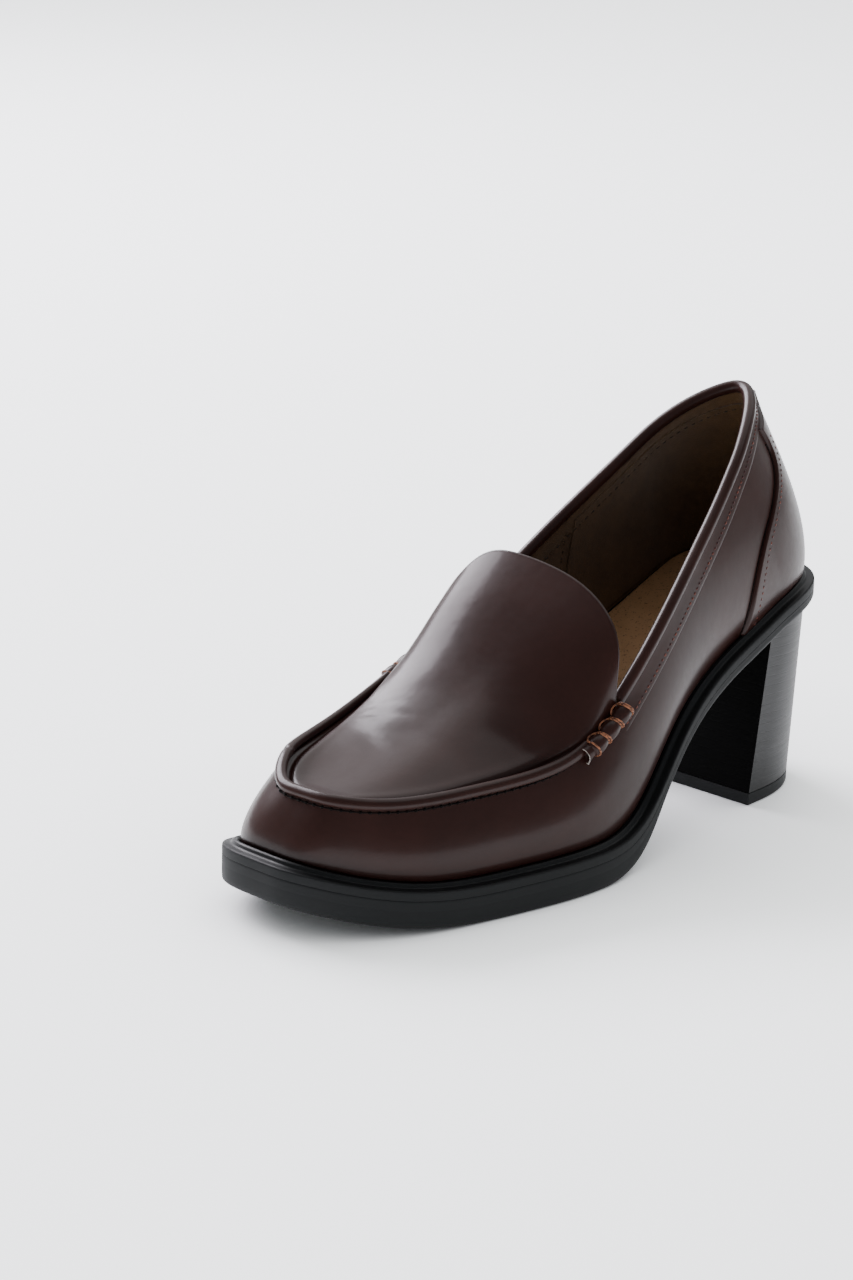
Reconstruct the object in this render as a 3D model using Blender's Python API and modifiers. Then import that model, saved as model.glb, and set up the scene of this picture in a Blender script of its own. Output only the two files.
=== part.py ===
"""Left loafer pump: moccasin upper, platform sole, raised waist and stacked block heel.

The model is in metres with +Z up. The toe points towards -Y and the wearer's outer side is +X.
The shoe stands on Z = 0, under the middle of its own outline.

Every curved piece is worked out from two closed lines round the last: the feather line, where the
upper meets the sole, and the top line, which is the apron seam in front and the collar behind.
A place on either line is given by its side, outer or inner, and its station, from 0 at the middle
of the toe to 1 at the middle of the heel.
"""
import bmesh
import bpy
import numpy as np

# Last
LAST_LENGTH = 0.240
BALL_WIDTH = 0.080
FOREFOOT_HEIGHT = 0.0130
HEEL_LIFT = 0.0630
TOE_SPRING = 0.0105
TOE_SPRING_REACH = 0.0640

# Upper
UPPER_WALL = 0.0020
WALL_BULGE = 0.0040
HEEL_BULGE = 0.0068
SEAM_SETBACK = 0.0078
SEAM_HEIGHT = 0.0400
COLLAR_SETBACK = 0.0185
COLLAR_LIFT = 0.1000
INSTEP_CROWN = 0.0260
TONGUE_LENGTH = 0.0130
TONGUE_SLOPE = 0.9
TONGUE_SKEW = 0.35

# Trim on the upper
APRON_ROLL_RADIUS = 0.0015
COLLAR_ROLL_RADIUS = 0.0022
COLLAR_ROLL_START = 0.0052
COLLAR_STRIP_START = 0.0040
COLLAR_STRIP_WIDTH = 0.0085
COUNTER_DROP = 0.0008
OVERLAY_THICKNESS = 0.0009
KICKER_LENGTH = 0.0205
KICKER_RADIUS = 0.0029
KICKER_LOBES = 3
BACK_TAB_WIDTH = 0.0090
BACK_TAB_LENGTH = 0.0340

# Sole unit
SOLE_MARGIN = 0.0062
SOLE_EDGE = 0.0016
SOLE_LIP = 0.0005
WELT_HEIGHT = 0.0030
WELT_BEAD = 0.0013
WELT_INSET = 0.0007
INSOLE_SEAT = 0.0030
PLATE_THICKNESS = 0.0075
INSOLE_THICKNESS = 0.0025
INSOLE_EDGE = 0.0008

# Heel
BREAST_TOP = 0.2050
BREAST_FOOT = 0.1970
HEEL_MARGIN = 0.0030
HEEL_BACK_UNDERCUT = 0.0030
TOPLIFT_THICKNESS = 0.0045

# Fits
GAP = 0.0003
INSOLE_CLEARANCE = 0.0006

# Feather line. Half widths are shares of BALL_WIDTH, and lift is a share of HEEL_LIFT.
# (share of LAST_LENGTH from the toe, outer half width, inner half width, lift)
FEATHER_ROWS = (
    (0.00, 0.240, 0.330, 0.000),
    (0.06, 0.310, 0.360, 0.000),
    (0.12, 0.370, 0.383, 0.000),
    (0.22, 0.440, 0.440, 0.000),
    (0.32, 0.500, 0.474, 0.000),
    (0.42, 0.525, 0.444, 0.000),
    (0.52, 0.482, 0.381, 0.090),
    (0.62, 0.418, 0.341, 0.430),
    (0.72, 0.374, 0.325, 0.675),
    (0.82, 0.358, 0.325, 0.835),
    (0.92, 0.340, 0.331, 0.965),
    (1.00, 0.332, 0.331, 1.000),
)

# Top line. Half widths are shares of BALL_WIDTH, and rises are shares of COLLAR_LIFT.
# (share of the line's own length, outer half width, inner half width, outer rise, inner rise)
TOP_ROWS = (
    (0.00, 0.220, 0.190, 0.012, 0.012),
    (0.06, 0.285, 0.262, -0.002, 0.035),
    (0.12, 0.340, 0.320, -0.012, 0.060),
    (0.22, 0.400, 0.390, -0.012, 0.078),
    (0.32, 0.450, 0.425, 0.004, 0.125),
    (0.42, 0.475, 0.430, 0.050, 0.205),
    (0.52, 0.475, 0.415, 0.195, 0.305),
    (0.62, 0.450, 0.385, 0.390, 0.450),
    (0.72, 0.390, 0.350, 0.565, 0.595),
    (0.82, 0.320, 0.282, 0.735, 0.758),
    (0.92, 0.240, 0.210, 0.910, 0.915),
    (1.00, 0.180, 0.160, 1.000, 1.000),
)

# Height of the apron's middle over the line between its seams, as a share of INSTEP_CROWN.
# The last column bends the section, from 1 for a low crown to 0.4 for a steep sided arch.
# (share of the apron's length from the toe seam to the kickers, height, section)
CROWN_ROWS = (
    (0.00, 0.00, 1.00),
    (0.15, 0.06, 1.00),
    (0.35, 0.17, 0.95),
    (0.55, 0.32, 0.80),
    (0.70, 0.49, 0.60),
    (0.85, 0.71, 0.38),
    (1.00, 1.00, 0.18),
)

# Front edge of the heel counter. (share of the wall's height, station)
COUNTER_ROWS = (
    (0.00, 0.735),
    (0.25, 0.770),
    (0.50, 0.830),
    (0.75, 0.893),
    (1.00, 0.935),
)

# Section of the welt, round from the foot of its inner face.
# (share of its width out from the upper, share of its height, share of the bead's rise)
WELT_SECTION = (
    (0.00, 0.00, 0.00),
    (0.90, 0.00, 0.00),
    (1.00, 0.20, 0.00),
    (0.92, 0.78, 0.00),
    (0.78, 0.93, 0.00),
    (0.50, 0.97, 0.10),
    (0.38, 1.00, 0.85),
    (0.20, 1.00, 0.95),
    (0.00, 0.85, 0.00),
)

# Stations where the toe curve ends, the kickers stand and the heel curve starts
TOE_STATION = 0.20
CORNER_STATION = 0.13
KICKER_STATIONS = {"outer": 0.458, "inner": 0.447}
HEEL_STATION = 0.82


def spline(rows, column):
    """Natural cubic spline through one column of a table, over its first column."""
    knots = np.array([row[0] for row in rows])
    values = np.array([row[column] for row in rows])
    steps = np.diff(knots)
    slopes = np.diff(values) / steps
    count = len(knots)
    matrix = np.eye(count)
    right = np.zeros(count)
    for i in range(1, count - 1):
        matrix[i, i - 1] = steps[i - 1]
        matrix[i, i] = 2 * (steps[i - 1] + steps[i])
        matrix[i, i + 1] = steps[i]
        right[i] = 6 * (slopes[i] - slopes[i - 1])
    bends = np.linalg.solve(matrix, right)

    def read(at):
        at = np.asarray(at, float)
        i = np.clip(np.searchsorted(knots, at) - 1, 0, count - 2)
        before = at - knots[i]
        after = knots[i + 1] - at
        cubic = (bends[i] * after ** 3 + bends[i + 1] * before ** 3) / (6 * steps[i])
        start = (values[i] / steps[i] - bends[i] * steps[i] / 6) * after
        end = (values[i + 1] / steps[i] - bends[i + 1] * steps[i] / 6) * before
        return cubic + start + end

    return read


def toe_spring(y):
    """Rise of the toe off the floor, at a distance from the toe's tip."""
    share = np.clip(1 - y / TOE_SPRING_REACH, 0, 1)
    return TOE_SPRING * share ** 2.5


class Line:
    """A closed line round the last, kept as two sides from the toe's middle to the heel's."""

    CURVE_STEPS = 60

    def __init__(self, outer, inner, heel_curve, start, length, slant):
        self.sides = {}
        for side, sign, (half_width, height, toe_curve) in (("outer", 1, outer), ("inner", -1, inner)):
            share, fullness, station = self.curve_stations(toe_curve, heel_curve, half_width, length)
            x = sign * half_width(share) * fullness
            y = start + share * length + slant * x * np.exp(-((share / 0.16) ** 2))
            self.sides[side] = (station, np.stack([x, y, height(share)], axis=-1))

    def curve_stations(self, toe_curve, heel_curve, half_width, length):
        """Shares along the line, how full its width is there, and the stations."""
        turn = np.linspace(1e-5, np.pi / 2, self.CURVE_STEPS)
        parts = []
        for reach, roundness in (toe_curve, heel_curve):
            share = reach * (1 - np.cos(turn) ** (2 / roundness))
            parts.append((share, np.sin(turn) ** (2 / roundness)))
        middle = np.linspace(toe_curve[0], 1 - heel_curve[0], self.CURVE_STEPS)
        share = np.concatenate([parts[0][0][:-1], middle, 1 - parts[1][0][::-1][1:]])
        fullness = np.concatenate([parts[0][1][:-1], np.ones(self.CURVE_STEPS), parts[1][1][::-1][1:]])
        along = share * length
        across = half_width(share) * fullness
        run = np.concatenate([[0], np.cumsum(np.hypot(np.diff(along), np.diff(across)))])
        toe_end = run[self.CURVE_STEPS - 1]
        heel_start = run[2 * self.CURVE_STEPS - 2]
        station = np.interp(run, [0, toe_end, heel_start, run[-1]], [0, TOE_STATION, HEEL_STATION, 1])
        return share, fullness, station

    def at(self, side, station):
        """Points at stations of one side."""
        stations, points = self.sides[side]
        return np.stack([np.interp(station, stations, points[:, i]) for i in range(3)], axis=-1)

    def outward(self, side, station):
        """Level directions that point out of the line."""
        before = self.at(side, np.clip(np.asarray(station) - 0.012, 0, 1))
        after = self.at(side, np.clip(np.asarray(station) + 0.012, 0, 1))
        run = after - before
        sign = 1 if side == "outer" else -1
        out = np.stack([sign * run[..., 1], -sign * run[..., 0], np.zeros(run.shape[:-1])], axis=-1)
        tip = (np.asarray(station) < 1e-6) | (np.asarray(station) > 1 - 1e-6)
        out[..., 0] = np.where(tip, 0, out[..., 0])
        return out / np.linalg.norm(out, axis=-1, keepdims=True)

    def station_after(self, side, station, distance):
        """Station reached by going a distance along one side, towards the heel if it is positive."""
        stations, points = self.sides[side]
        run = np.concatenate([[0], np.cumsum(np.linalg.norm(np.diff(points, axis=0), axis=1))])
        return float(np.interp(np.interp(station, stations, run) + distance, run, stations))


def feather_line():
    """The line where the upper meets the sole."""
    lift = spline(FEATHER_ROWS, 3)

    def height(share):
        return FOREFOOT_HEIGHT + toe_spring(share * LAST_LENGTH) + HEEL_LIFT * np.clip(lift(share), 0, None)

    outer = spline(FEATHER_ROWS, 1)
    inner = spline(FEATHER_ROWS, 2)
    return Line(
        (lambda share: BALL_WIDTH * outer(share), height, (0.20, 2.6)),
        (lambda share: BALL_WIDTH * inner(share), height, (0.12, 3.9)),
        (0.12, 2.3), 0.0, LAST_LENGTH, 0.0)


def top_line():
    """The apron seam and, behind the kickers, the collar's edge."""
    columns = [spline(TOP_ROWS, column) for column in range(1, 5)]
    length = LAST_LENGTH - SEAM_SETBACK - COLLAR_SETBACK
    return Line(
        (lambda share: BALL_WIDTH * columns[0](share),
         lambda share: SEAM_HEIGHT + COLLAR_LIFT * columns[2](share), (0.23, 2.9)),
        (lambda share: BALL_WIDTH * columns[1](share),
         lambda share: SEAM_HEIGHT + COLLAR_LIFT * columns[3](share), (0.14, 3.4)),
        (0.14, 2.0), SEAM_SETBACK, length, 0.11)


FEATHER = feather_line()
TOP = top_line()


def wall_point(side, station, rise):
    """Outer face of the upper's wall, from the feather line at rise 0 to the top line at 1."""
    station, rise = np.broadcast_arrays(station, rise)
    foot = FEATHER.at(side, station)
    top = TOP.at(side, station)
    heel = np.clip((station - HEEL_STATION) / (1 - HEEL_STATION), 0, 1)
    swell = WALL_BULGE + (HEEL_BULGE - WALL_BULGE) * heel
    fullness = rise ** 0.8 * (1 - rise) ** 1.2 / (0.4 ** 0.8 * 0.6 ** 1.2)
    bulge = (swell * fullness)[..., None] * FEATHER.outward(side, station)
    return foot + (top - foot) * rise[..., None] + bulge


def wall_normal(side, station, rise):
    """Unit directions that point out of the wall."""
    step = 0.01
    low = np.clip(np.asarray(rise) - step, 0, 1)
    high = np.clip(np.asarray(rise) + step, 0, 1)
    up = wall_point(side, station, high) - wall_point(side, station, low)
    before = wall_point(side, np.clip(np.asarray(station) - step, 0, 1), rise)
    after = wall_point(side, np.clip(np.asarray(station) + step, 0, 1), rise)
    along = after - before
    sign = 1 if side == "outer" else -1
    normal = sign * np.cross(along, up)
    tip = (np.asarray(station) < 1e-6) | (np.asarray(station) > 1 - 1e-6)
    normal[..., 0] = np.where(tip, 0, normal[..., 0])
    return normal / np.linalg.norm(normal, axis=-1, keepdims=True)


def apron_point(across, along):
    """Outer face of the apron: across from -1, inner, to 1, and along from the toe seam to the kickers."""
    across, along = np.broadcast_arrays(across, along)
    across = across * (1 - along) + np.sin(across * np.pi / 2) * along
    front = np.where(across[..., None] < 0,
                     TOP.at("inner", -across * CORNER_STATION), TOP.at("outer", across * CORNER_STATION))
    edges = {side: TOP.at(side, CORNER_STATION + along * (end - CORNER_STATION))
             for side, end in KICKER_STATIONS.items()}
    inner, outer = edges["inner"], edges["outer"]
    share = (across[..., None] + 1) / 2
    inner_corner = TOP.at("inner", CORNER_STATION)
    outer_corner = TOP.at("outer", CORNER_STATION)
    kickers = {side: TOP.at(side, end) for side, end in KICKER_STATIONS.items()}
    back = kickers["inner"] * (1 - share) + kickers["outer"] * share
    corners = inner_corner * (1 - share) + outer_corner * share
    toward = along[..., None]
    point = inner * (1 - share) + outer * share + front * (1 - toward) + back * toward
    point = point - corners * (1 - toward) - back * toward
    crown = INSTEP_CROWN * spline(CROWN_ROWS, 1)(along)
    squareness = spline(CROWN_ROWS, 2)(along)
    point[..., 2] += crown * np.clip(1 - np.abs(across) ** 2.4, 0, 1) ** squareness
    return point


def tongue_point(across, along):
    """The apron's free end behind the kickers, from its start at 0 to its arched edge at 1."""
    across, along = np.broadcast_arrays(across, along)
    start = apron_point(across, np.ones(across.shape))
    reach = TONGUE_LENGTH * along * (1 - across ** 2) ** 1.3 * (1 - TONGUE_SKEW * across)
    return start + reach[..., None] * np.array([0, 1, TONGUE_SLOPE])


def apron_normal(across, along):
    """Unit directions that point up out of the apron."""
    step = 0.02
    left = apron_point(np.clip(across - step, -1, 1), along)
    right = apron_point(np.clip(across + step, -1, 1), along)
    front = apron_point(across, np.clip(along - step, 0, 1))
    back = apron_point(across, np.clip(along + step, 0, 1))
    normal = np.cross(right - left, back - front)
    return normal / np.linalg.norm(normal, axis=-1, keepdims=True)


def seam_lift(side, station):
    """Unit directions half way between the wall and the apron, on the seam."""
    station = np.asarray(station, float)
    sign = 1 if side == "outer" else -1
    on_front = station < CORNER_STATION
    across = np.where(on_front, sign * station / CORNER_STATION, sign)
    along = np.where(on_front, 0, (station - CORNER_STATION) / (KICKER_STATIONS[side] - CORNER_STATION))
    lift = wall_normal(side, station, np.ones(station.shape)) + apron_normal(across, np.clip(along, 0, 1))
    return lift / np.linalg.norm(lift, axis=-1, keepdims=True)


def sole_thickness(y, height):
    """How far the outsole's underside lies below the feather line."""
    waist = np.clip((y / LAST_LENGTH - 0.42) / 0.16, 0, 1)
    ease = waist ** 2 * (3 - 2 * waist)
    full = height - toe_spring(y)
    return full * (1 - ease) + PLATE_THICKNESS * ease


# Mesh building

def srgb(code):
    """Linear colour of a six digit sRGB code."""
    parts = [int(code[i:i + 2], 16) / 255 for i in (0, 2, 4)]
    return [c / 12.92 if c <= 0.04045 else ((c + 0.055) / 1.055) ** 2.4 for c in parts] + [1.0]


def material(name, code, roughness):
    """A plain material of one colour."""
    made = bpy.data.materials.new(name)
    made.use_nodes = True
    made.diffuse_color = srgb(code)
    shader = made.node_tree.nodes["Principled BSDF"]
    shader.inputs["Base Color"].default_value = srgb(code)
    shader.inputs["Roughness"].default_value = roughness
    shader.inputs["Metallic"].default_value = 0.0
    return made


def add_object(name, mesh, finish):
    """Puts a mesh in the shoe's collection under its own name, shaded smooth."""
    mesh.shade_smooth()
    mesh.set_sharp_from_angle(angle=np.radians(40))
    mesh.materials.append(finish)
    piece = bpy.data.objects.new(name, mesh)
    bpy.data.collections["loafer_pump"].objects.link(piece)
    return piece


def mesh_from(name, points, faces, closed):
    """A mesh from points and faces, with its faces pointing out if it is closed."""
    mesh = bpy.data.meshes.new(name)
    mesh.from_pydata([tuple(map(float, point)) for point in points], [], faces)
    form = bmesh.new()
    form.from_mesh(mesh)
    if closed:
        bmesh.ops.recalc_face_normals(form, faces=form.faces)
    form.to_mesh(mesh)
    form.free()
    return mesh


def grid_faces(index, ring=False):
    """Quads over a table of vertex numbers, joined round if it is a ring of columns."""
    faces = []
    columns, rows = index.shape
    for c in range(columns if ring else columns - 1):
        after = (c + 1) % columns
        for r in range(rows - 1):
            faces.append((int(index[c, r]), int(index[after, r]), int(index[after, r + 1]), int(index[c, r + 1])))
    return faces


def thicken(piece, thickness, offset):
    """Gives an open surface a wall."""
    shell = piece.modifiers.new("wall", "SOLIDIFY")
    shell.thickness = thickness
    shell.offset = offset
    shell.use_even_offset = False
    return piece


def ring_solid(name, profiles, finish, tip_first):
    """A closed solid from edge profiles round a plan outline, filled across between its two sides.

    The profiles go from the outline's first tip along one side, round the far tip and back along
    the other. Where the first column isn't a tip, the first and last columns end in a flat face.
    """
    columns, rows = profiles.shape[:2]
    index = np.arange(columns * rows).reshape(columns, rows)
    faces = grid_faces(index, ring=True)
    for row in (0, rows - 1):
        for c in range(columns // 2):
            far = (columns - c) % columns if tip_first else columns - 1 - c
            far_after = columns - c - 1 if tip_first else columns - 2 - c
            quad = [int(index[k, row]) for k in (c, c + 1, far_after, far)]
            unique = tuple(dict.fromkeys(quad))
            if len(unique) > 2:
                faces.append(unique)
    mesh = mesh_from(name, profiles.reshape(-1, 3), faces, closed=True)
    return add_object(name, mesh, finish)


def loft_solid(name, sections, finish):
    """A closed solid from a row of closed sections, with flat ends."""
    count, around = sections.shape[:2]
    index = np.arange(count * around).reshape(count, around)
    faces = grid_faces(index.T, ring=True)
    faces.append(tuple(int(i) for i in index[0]))
    faces.append(tuple(int(i) for i in index[-1]))
    return add_object(name, mesh_from(name, sections.reshape(-1, 3), faces, closed=True), finish)


def tube(name, route, radius, finish):
    """A round cord of leather along a route, with filled ends."""
    curve = bpy.data.curves.new(name, "CURVE")
    curve.dimensions = "3D"
    curve.bevel_depth = radius
    curve.bevel_resolution = 2
    curve.use_fill_caps = True
    run = curve.splines.new("POLY")
    run.points.add(len(route) - 1)
    for point, place in zip(run.points, route):
        point.co = (*map(float, place), 1.0)
    curve.materials.append(finish)
    piece = bpy.data.objects.new(name, curve)
    bpy.data.collections["loafer_pump"].objects.link(piece)
    return piece


# Pieces

FRONT_COLUMNS = 7
APRON_ROWS = 14
COLLAR_COLUMNS = 17
STATIONS = {side: np.concatenate([
    np.linspace(0, CORNER_STATION, FRONT_COLUMNS + 1),
    np.linspace(CORNER_STATION, kicker, APRON_ROWS + 1)[1:],
    np.linspace(kicker, 1, COLLAR_COLUMNS + 1)[1:],
]) for side, kicker in KICKER_STATIONS.items()}
WALL_RISES = np.array([0.0, 0.06, 0.14, 0.24, 0.36, 0.48, 0.60, 0.71, 0.81, 0.91, 1.0])


def around():
    """Sides and stations in order: from the toe along the outer side, round the heel and back."""
    outer = [("outer", s) for s in STATIONS["outer"]]
    inner = [("inner", s) for s in STATIONS["inner"][1:-1][::-1]]
    return outer + inner


def collar_run(start):
    """Sides and stations of the collar, from a distance behind one kicker round to the other."""
    run = []
    for side, order in (("outer", 1), ("inner", -1)):
        first = TOP.station_after(side, KICKER_STATIONS[side], start)
        kept = STATIONS[side][STATIONS[side] > first + 0.01]
        stations = np.concatenate([[first], kept])[::order]
        if side == "inner":
            stations = stations[1:]
        run += [(side, float(station)) for station in stations]
    return run


def build_upper(finish):
    """Wall, apron and tongue as one open surface with the leather's thickness."""
    columns = around()
    index = {}
    points = []

    def keep(point):
        points.append(point)
        return len(points) - 1

    table = np.zeros((len(columns), len(WALL_RISES)), int)
    last = len(STATIONS["outer"]) - 1
    for c, (side, station) in enumerate(columns):
        for r, point in enumerate(wall_point(side, station, WALL_RISES)):
            table[c, r] = keep(point)
        index[(side, c if side == "outer" else 2 * last - c)] = int(table[c, -1])
    index[("inner", 0)] = index[("outer", 0)]
    faces = grid_faces(table, ring=True)

    acrosses = np.linspace(-1, 1, 2 * FRONT_COLUMNS + 1)
    alongs = np.linspace(0, 1, APRON_ROWS + 1)
    grid = np.zeros((len(acrosses), len(alongs)), int)
    for i, across in enumerate(acrosses):
        side = "inner" if across < 0 else "outer"
        for j, along in enumerate(alongs):
            if j == 0:
                grid[i, j] = index[(side, abs(i - FRONT_COLUMNS))]
            elif i in (0, len(acrosses) - 1):
                grid[i, j] = index[(side, FRONT_COLUMNS + j)]
            else:
                grid[i, j] = keep(apron_point(np.array(across), np.array(along)))
    faces += grid_faces(grid)

    rows = np.linspace(0, 1, 9)
    tongue = np.zeros((len(acrosses), len(rows)), int)
    for i, across in enumerate(acrosses):
        for j, along in enumerate(rows):
            if j == 0 or i in (0, len(acrosses) - 1):
                tongue[i, j] = grid[i, -1]
            else:
                tongue[i, j] = keep(tongue_point(np.array(across), np.array(along)))
    for face in grid_faces(tongue):
        unique = tuple(dict.fromkeys(face))
        if len(unique) > 2:
            faces.append(unique)
    mesh = mesh_from("upper", points, faces, closed=False)
    return thicken(add_object("upper", mesh, finish), UPPER_WALL, -1.0)


def outsole_profiles():
    """Edge profiles of the outsole: top, ledge for the welt, side wall and underside."""
    rows = []
    for side, station in around():
        foot = FEATHER.at(side, station)
        out = FEATHER.outward(side, station)
        depth = sole_thickness(foot[1], foot[2])
        ledge = -WELT_HEIGHT - GAP
        profile = (
            (-INSOLE_SEAT, -GAP),
            (WELT_INSET - GAP, -GAP),
            (WELT_INSET - GAP, ledge),
            (SOLE_MARGIN - SOLE_LIP, ledge),
            (SOLE_MARGIN, ledge - SOLE_LIP),
            (SOLE_MARGIN, SOLE_EDGE - depth),
            (SOLE_MARGIN - 0.3 * SOLE_EDGE, 0.3 * SOLE_EDGE - depth),
            (SOLE_MARGIN - SOLE_EDGE, -depth),
        )
        rows.append([foot + out * distance + np.array([0, 0, height]) for distance, height in profile])
    return np.array(rows)


def build_outsole(finish):
    """Forefoot platform, waist and heel plate in one moulding."""
    return ring_solid("outsole", outsole_profiles(), finish, tip_first=True)


def build_welt(finish):
    """Glossy rand that lies on the outsole's ledge, with a bead against the upper."""
    sections = []
    for side, station in around():
        foot = FEATHER.at(side, station)
        out = FEATHER.outward(side, station)
        for share, height, bead in WELT_SECTION:
            distance = WELT_INSET + (SOLE_MARGIN - WELT_INSET) * share
            rise = WELT_HEIGHT * (height - 1) + WELT_BEAD * bead
            sections.append(foot + out * distance + np.array([0, 0, rise]))
    index = np.arange(len(sections)).reshape(-1, len(WELT_SECTION))
    loop = np.concatenate([index, index[:, :1]], axis=1)
    mesh = mesh_from("welt", sections, grid_faces(loop, ring=True), closed=True)
    return add_object("welt", mesh, finish)


def build_insole(finish):
    """Insole on the outsole's top, inside the upper's wall."""
    inset = UPPER_WALL + INSOLE_CLEARANCE
    rows = []
    for side, station in around():
        foot = FEATHER.at(side, station)
        out = FEATHER.outward(side, station)
        profile = ((-inset - INSOLE_EDGE, INSOLE_THICKNESS), (-inset, INSOLE_THICKNESS - INSOLE_EDGE), (-inset, 0.0))
        rows.append([foot + out * distance + np.array([0, 0, height]) for distance, height in profile])
    return ring_solid("insole", np.array(rows), finish, tip_first=True)


def heel_outline(share):
    """Outline of the heel block in plan, share 0 on the floor and 1 under the plate.

    Its points keep the height of the feather line beside them.
    """
    breast = BREAST_FOOT + (BREAST_TOP - BREAST_FOOT) * share
    back_top = LAST_LENGTH + HEEL_MARGIN
    back = back_top - HEEL_BACK_UNDERCUT * (1 - share)
    stations = {side: start_station(side, BREAST_TOP) for side in ("outer", "inner")}
    points = []
    for side in ("outer", "inner"):
        run = np.linspace(stations[side], 1, 15)
        plan = FEATHER.at(side, run) + FEATHER.outward(side, run) * HEEL_MARGIN
        plan[:, 1] = breast + (plan[:, 1] - plan[0, 1]) * (back - breast) / (back_top - plan[0, 1])
        points.append(plan)
    return np.concatenate([points[0], points[1][::-1][1:]])


def start_station(side, y):
    """Station of one side of the feather line at a distance from the toe."""
    stations, points = FEATHER.sides[side]
    behind = stations > TOE_STATION
    return float(np.interp(y, points[behind, 1], stations[behind]))


def heel_rows(low, shares):
    """Rings of the heel from a level base up to the plate, one for each share of its height."""
    top_height = heel_outline(1.0)[:, 2] - PLATE_THICKNESS - GAP
    rows = []
    for share in shares:
        ring = heel_outline(share)
        ring[:, 2] = low + (top_height - low) * share
        rows.append(ring)
    return np.array(rows)


def build_heel_block(finish):
    """Stacked block with a flat breast that leans forward to the floor."""
    shares = np.array([1.0, 0.75, 0.5, 0.25, 0.0])
    rings = heel_rows(TOPLIFT_THICKNESS + GAP, shares)
    return ring_solid("heel_block", rings.transpose(1, 0, 2), finish, tip_first=False)


def build_toplift(finish):
    """Rubber lift under the heel block, on the floor."""
    rings = []
    for height, spread in ((TOPLIFT_THICKNESS, 0.0), (0.0006, 0.0), (0.0, -0.0006)):
        ring = heel_outline(0.0)
        middle = ring.mean(axis=0)
        middle[2] = 0
        ring[:, 2] = 0
        away = ring - middle
        away /= np.linalg.norm(away, axis=1, keepdims=True)
        ring = ring + away * spread
        ring[:, 2] = height
        rings.append(ring)
    return ring_solid("heel_toplift", np.array(rings).transpose(1, 0, 2), finish, tip_first=False)


def patch(name, sides_stations, rises, lift, finish):
    """A leather overlay that lies on the wall, a gap above it."""
    points = []
    for (side, station), rise in zip(sides_stations, rises):
        station = np.full(np.shape(rise), station) if np.ndim(station) == 0 else station
        place = wall_point(side, station, rise) + wall_normal(side, station, rise) * lift
        points.append(place)
    points = np.array(points)
    index = np.arange(points.shape[0] * points.shape[1]).reshape(points.shape[:2])
    mesh = mesh_from(name, points.reshape(-1, 3), grid_faces(index), closed=False)
    return thicken(add_object(name, mesh, finish), OVERLAY_THICKNESS, 1.0)


STRIP_TOP = 0.99


def wall_height(side, station):
    """Length of the wall from the feather line to the top line."""
    return np.linalg.norm(TOP.at(side, station) - FEATHER.at(side, station))


def strip_rise(side, station):
    """Share of the wall's height at the collar strip's lower edge."""
    return 1 - COLLAR_STRIP_WIDTH / wall_height(side, station)


def build_collar_strip(finish):
    """Band under the collar's roll, from kicker to kicker round the heel."""
    runs = collar_run(COLLAR_STRIP_START)
    rises = [np.linspace(strip_rise(side, station), STRIP_TOP, 4) for side, station in runs]
    return patch("collar_strip", runs, rises, GAP, finish)


def build_counter(finish):
    """Heel counter, with a curved front edge on each side."""
    edge = spline(COUNTER_ROWS, 1)
    levels = np.linspace(0, 1, 13)
    foot_height = WELT_BEAD + OVERLAY_THICKNESS + GAP
    runs = []
    rises = []
    for side, order in (("outer", 1), ("inner", -1)):
        shares = np.linspace(0, 1, 9)[::order]
        if side == "inner":
            shares = shares[1:]
        foot = foot_height / wall_height(side, COUNTER_ROWS[0][1])
        top = strip_rise(side, COUNTER_ROWS[-1][1]) - COUNTER_DROP / wall_height(side, COUNTER_ROWS[-1][1])
        for share in shares:
            rise = foot + (top - foot) * levels
            station = edge(rise) + (1 - edge(rise)) * share
            runs.append((side, station))
            rises.append(rise)
    return patch("counter", runs, rises, GAP, finish)


def build_back_tab(finish):
    """Narrow stay down the middle of the heel, over the strip and the counter."""
    levels = np.linspace(1 - BACK_TAB_LENGTH / wall_height("outer", 1.0), STRIP_TOP, 7)
    reach = {side: 1 - TOP.station_after(side, 1.0, -BACK_TAB_WIDTH / 2) for side in ("outer", "inner")}
    runs = []
    for side, shares in (("outer", (1.0, 0.5, 0.0)), ("inner", (0.5, 1.0))):
        runs += [(side, 1 - reach[side] * share) for share in shares]
    lift = OVERLAY_THICKNESS + 2 * GAP
    return patch("back_tab", runs, [levels] * len(runs), lift, finish)


def kicker_span(side):
    """Stations of a kicker's front and rear ends."""
    rear = KICKER_STATIONS[side]
    return TOP.station_after(side, rear, -KICKER_LENGTH), rear


def build_apron_roll(finish):
    """Rolled edge of the apron, on the seam from kicker to kicker round the toe."""
    lift = APRON_ROLL_RADIUS + GAP
    route = []
    for side, order in (("inner", -1), ("outer", 1)):
        end = TOP.station_after(side, kicker_span(side)[0], -2 * GAP)
        stations = np.linspace(0, end, 25)[::order]
        if side == "outer":
            stations = stations[1:]
        route.append(TOP.at(side, stations) + seam_lift(side, stations) * lift)
    return tube("apron_roll", np.concatenate(route), APRON_ROLL_RADIUS, finish)


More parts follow.
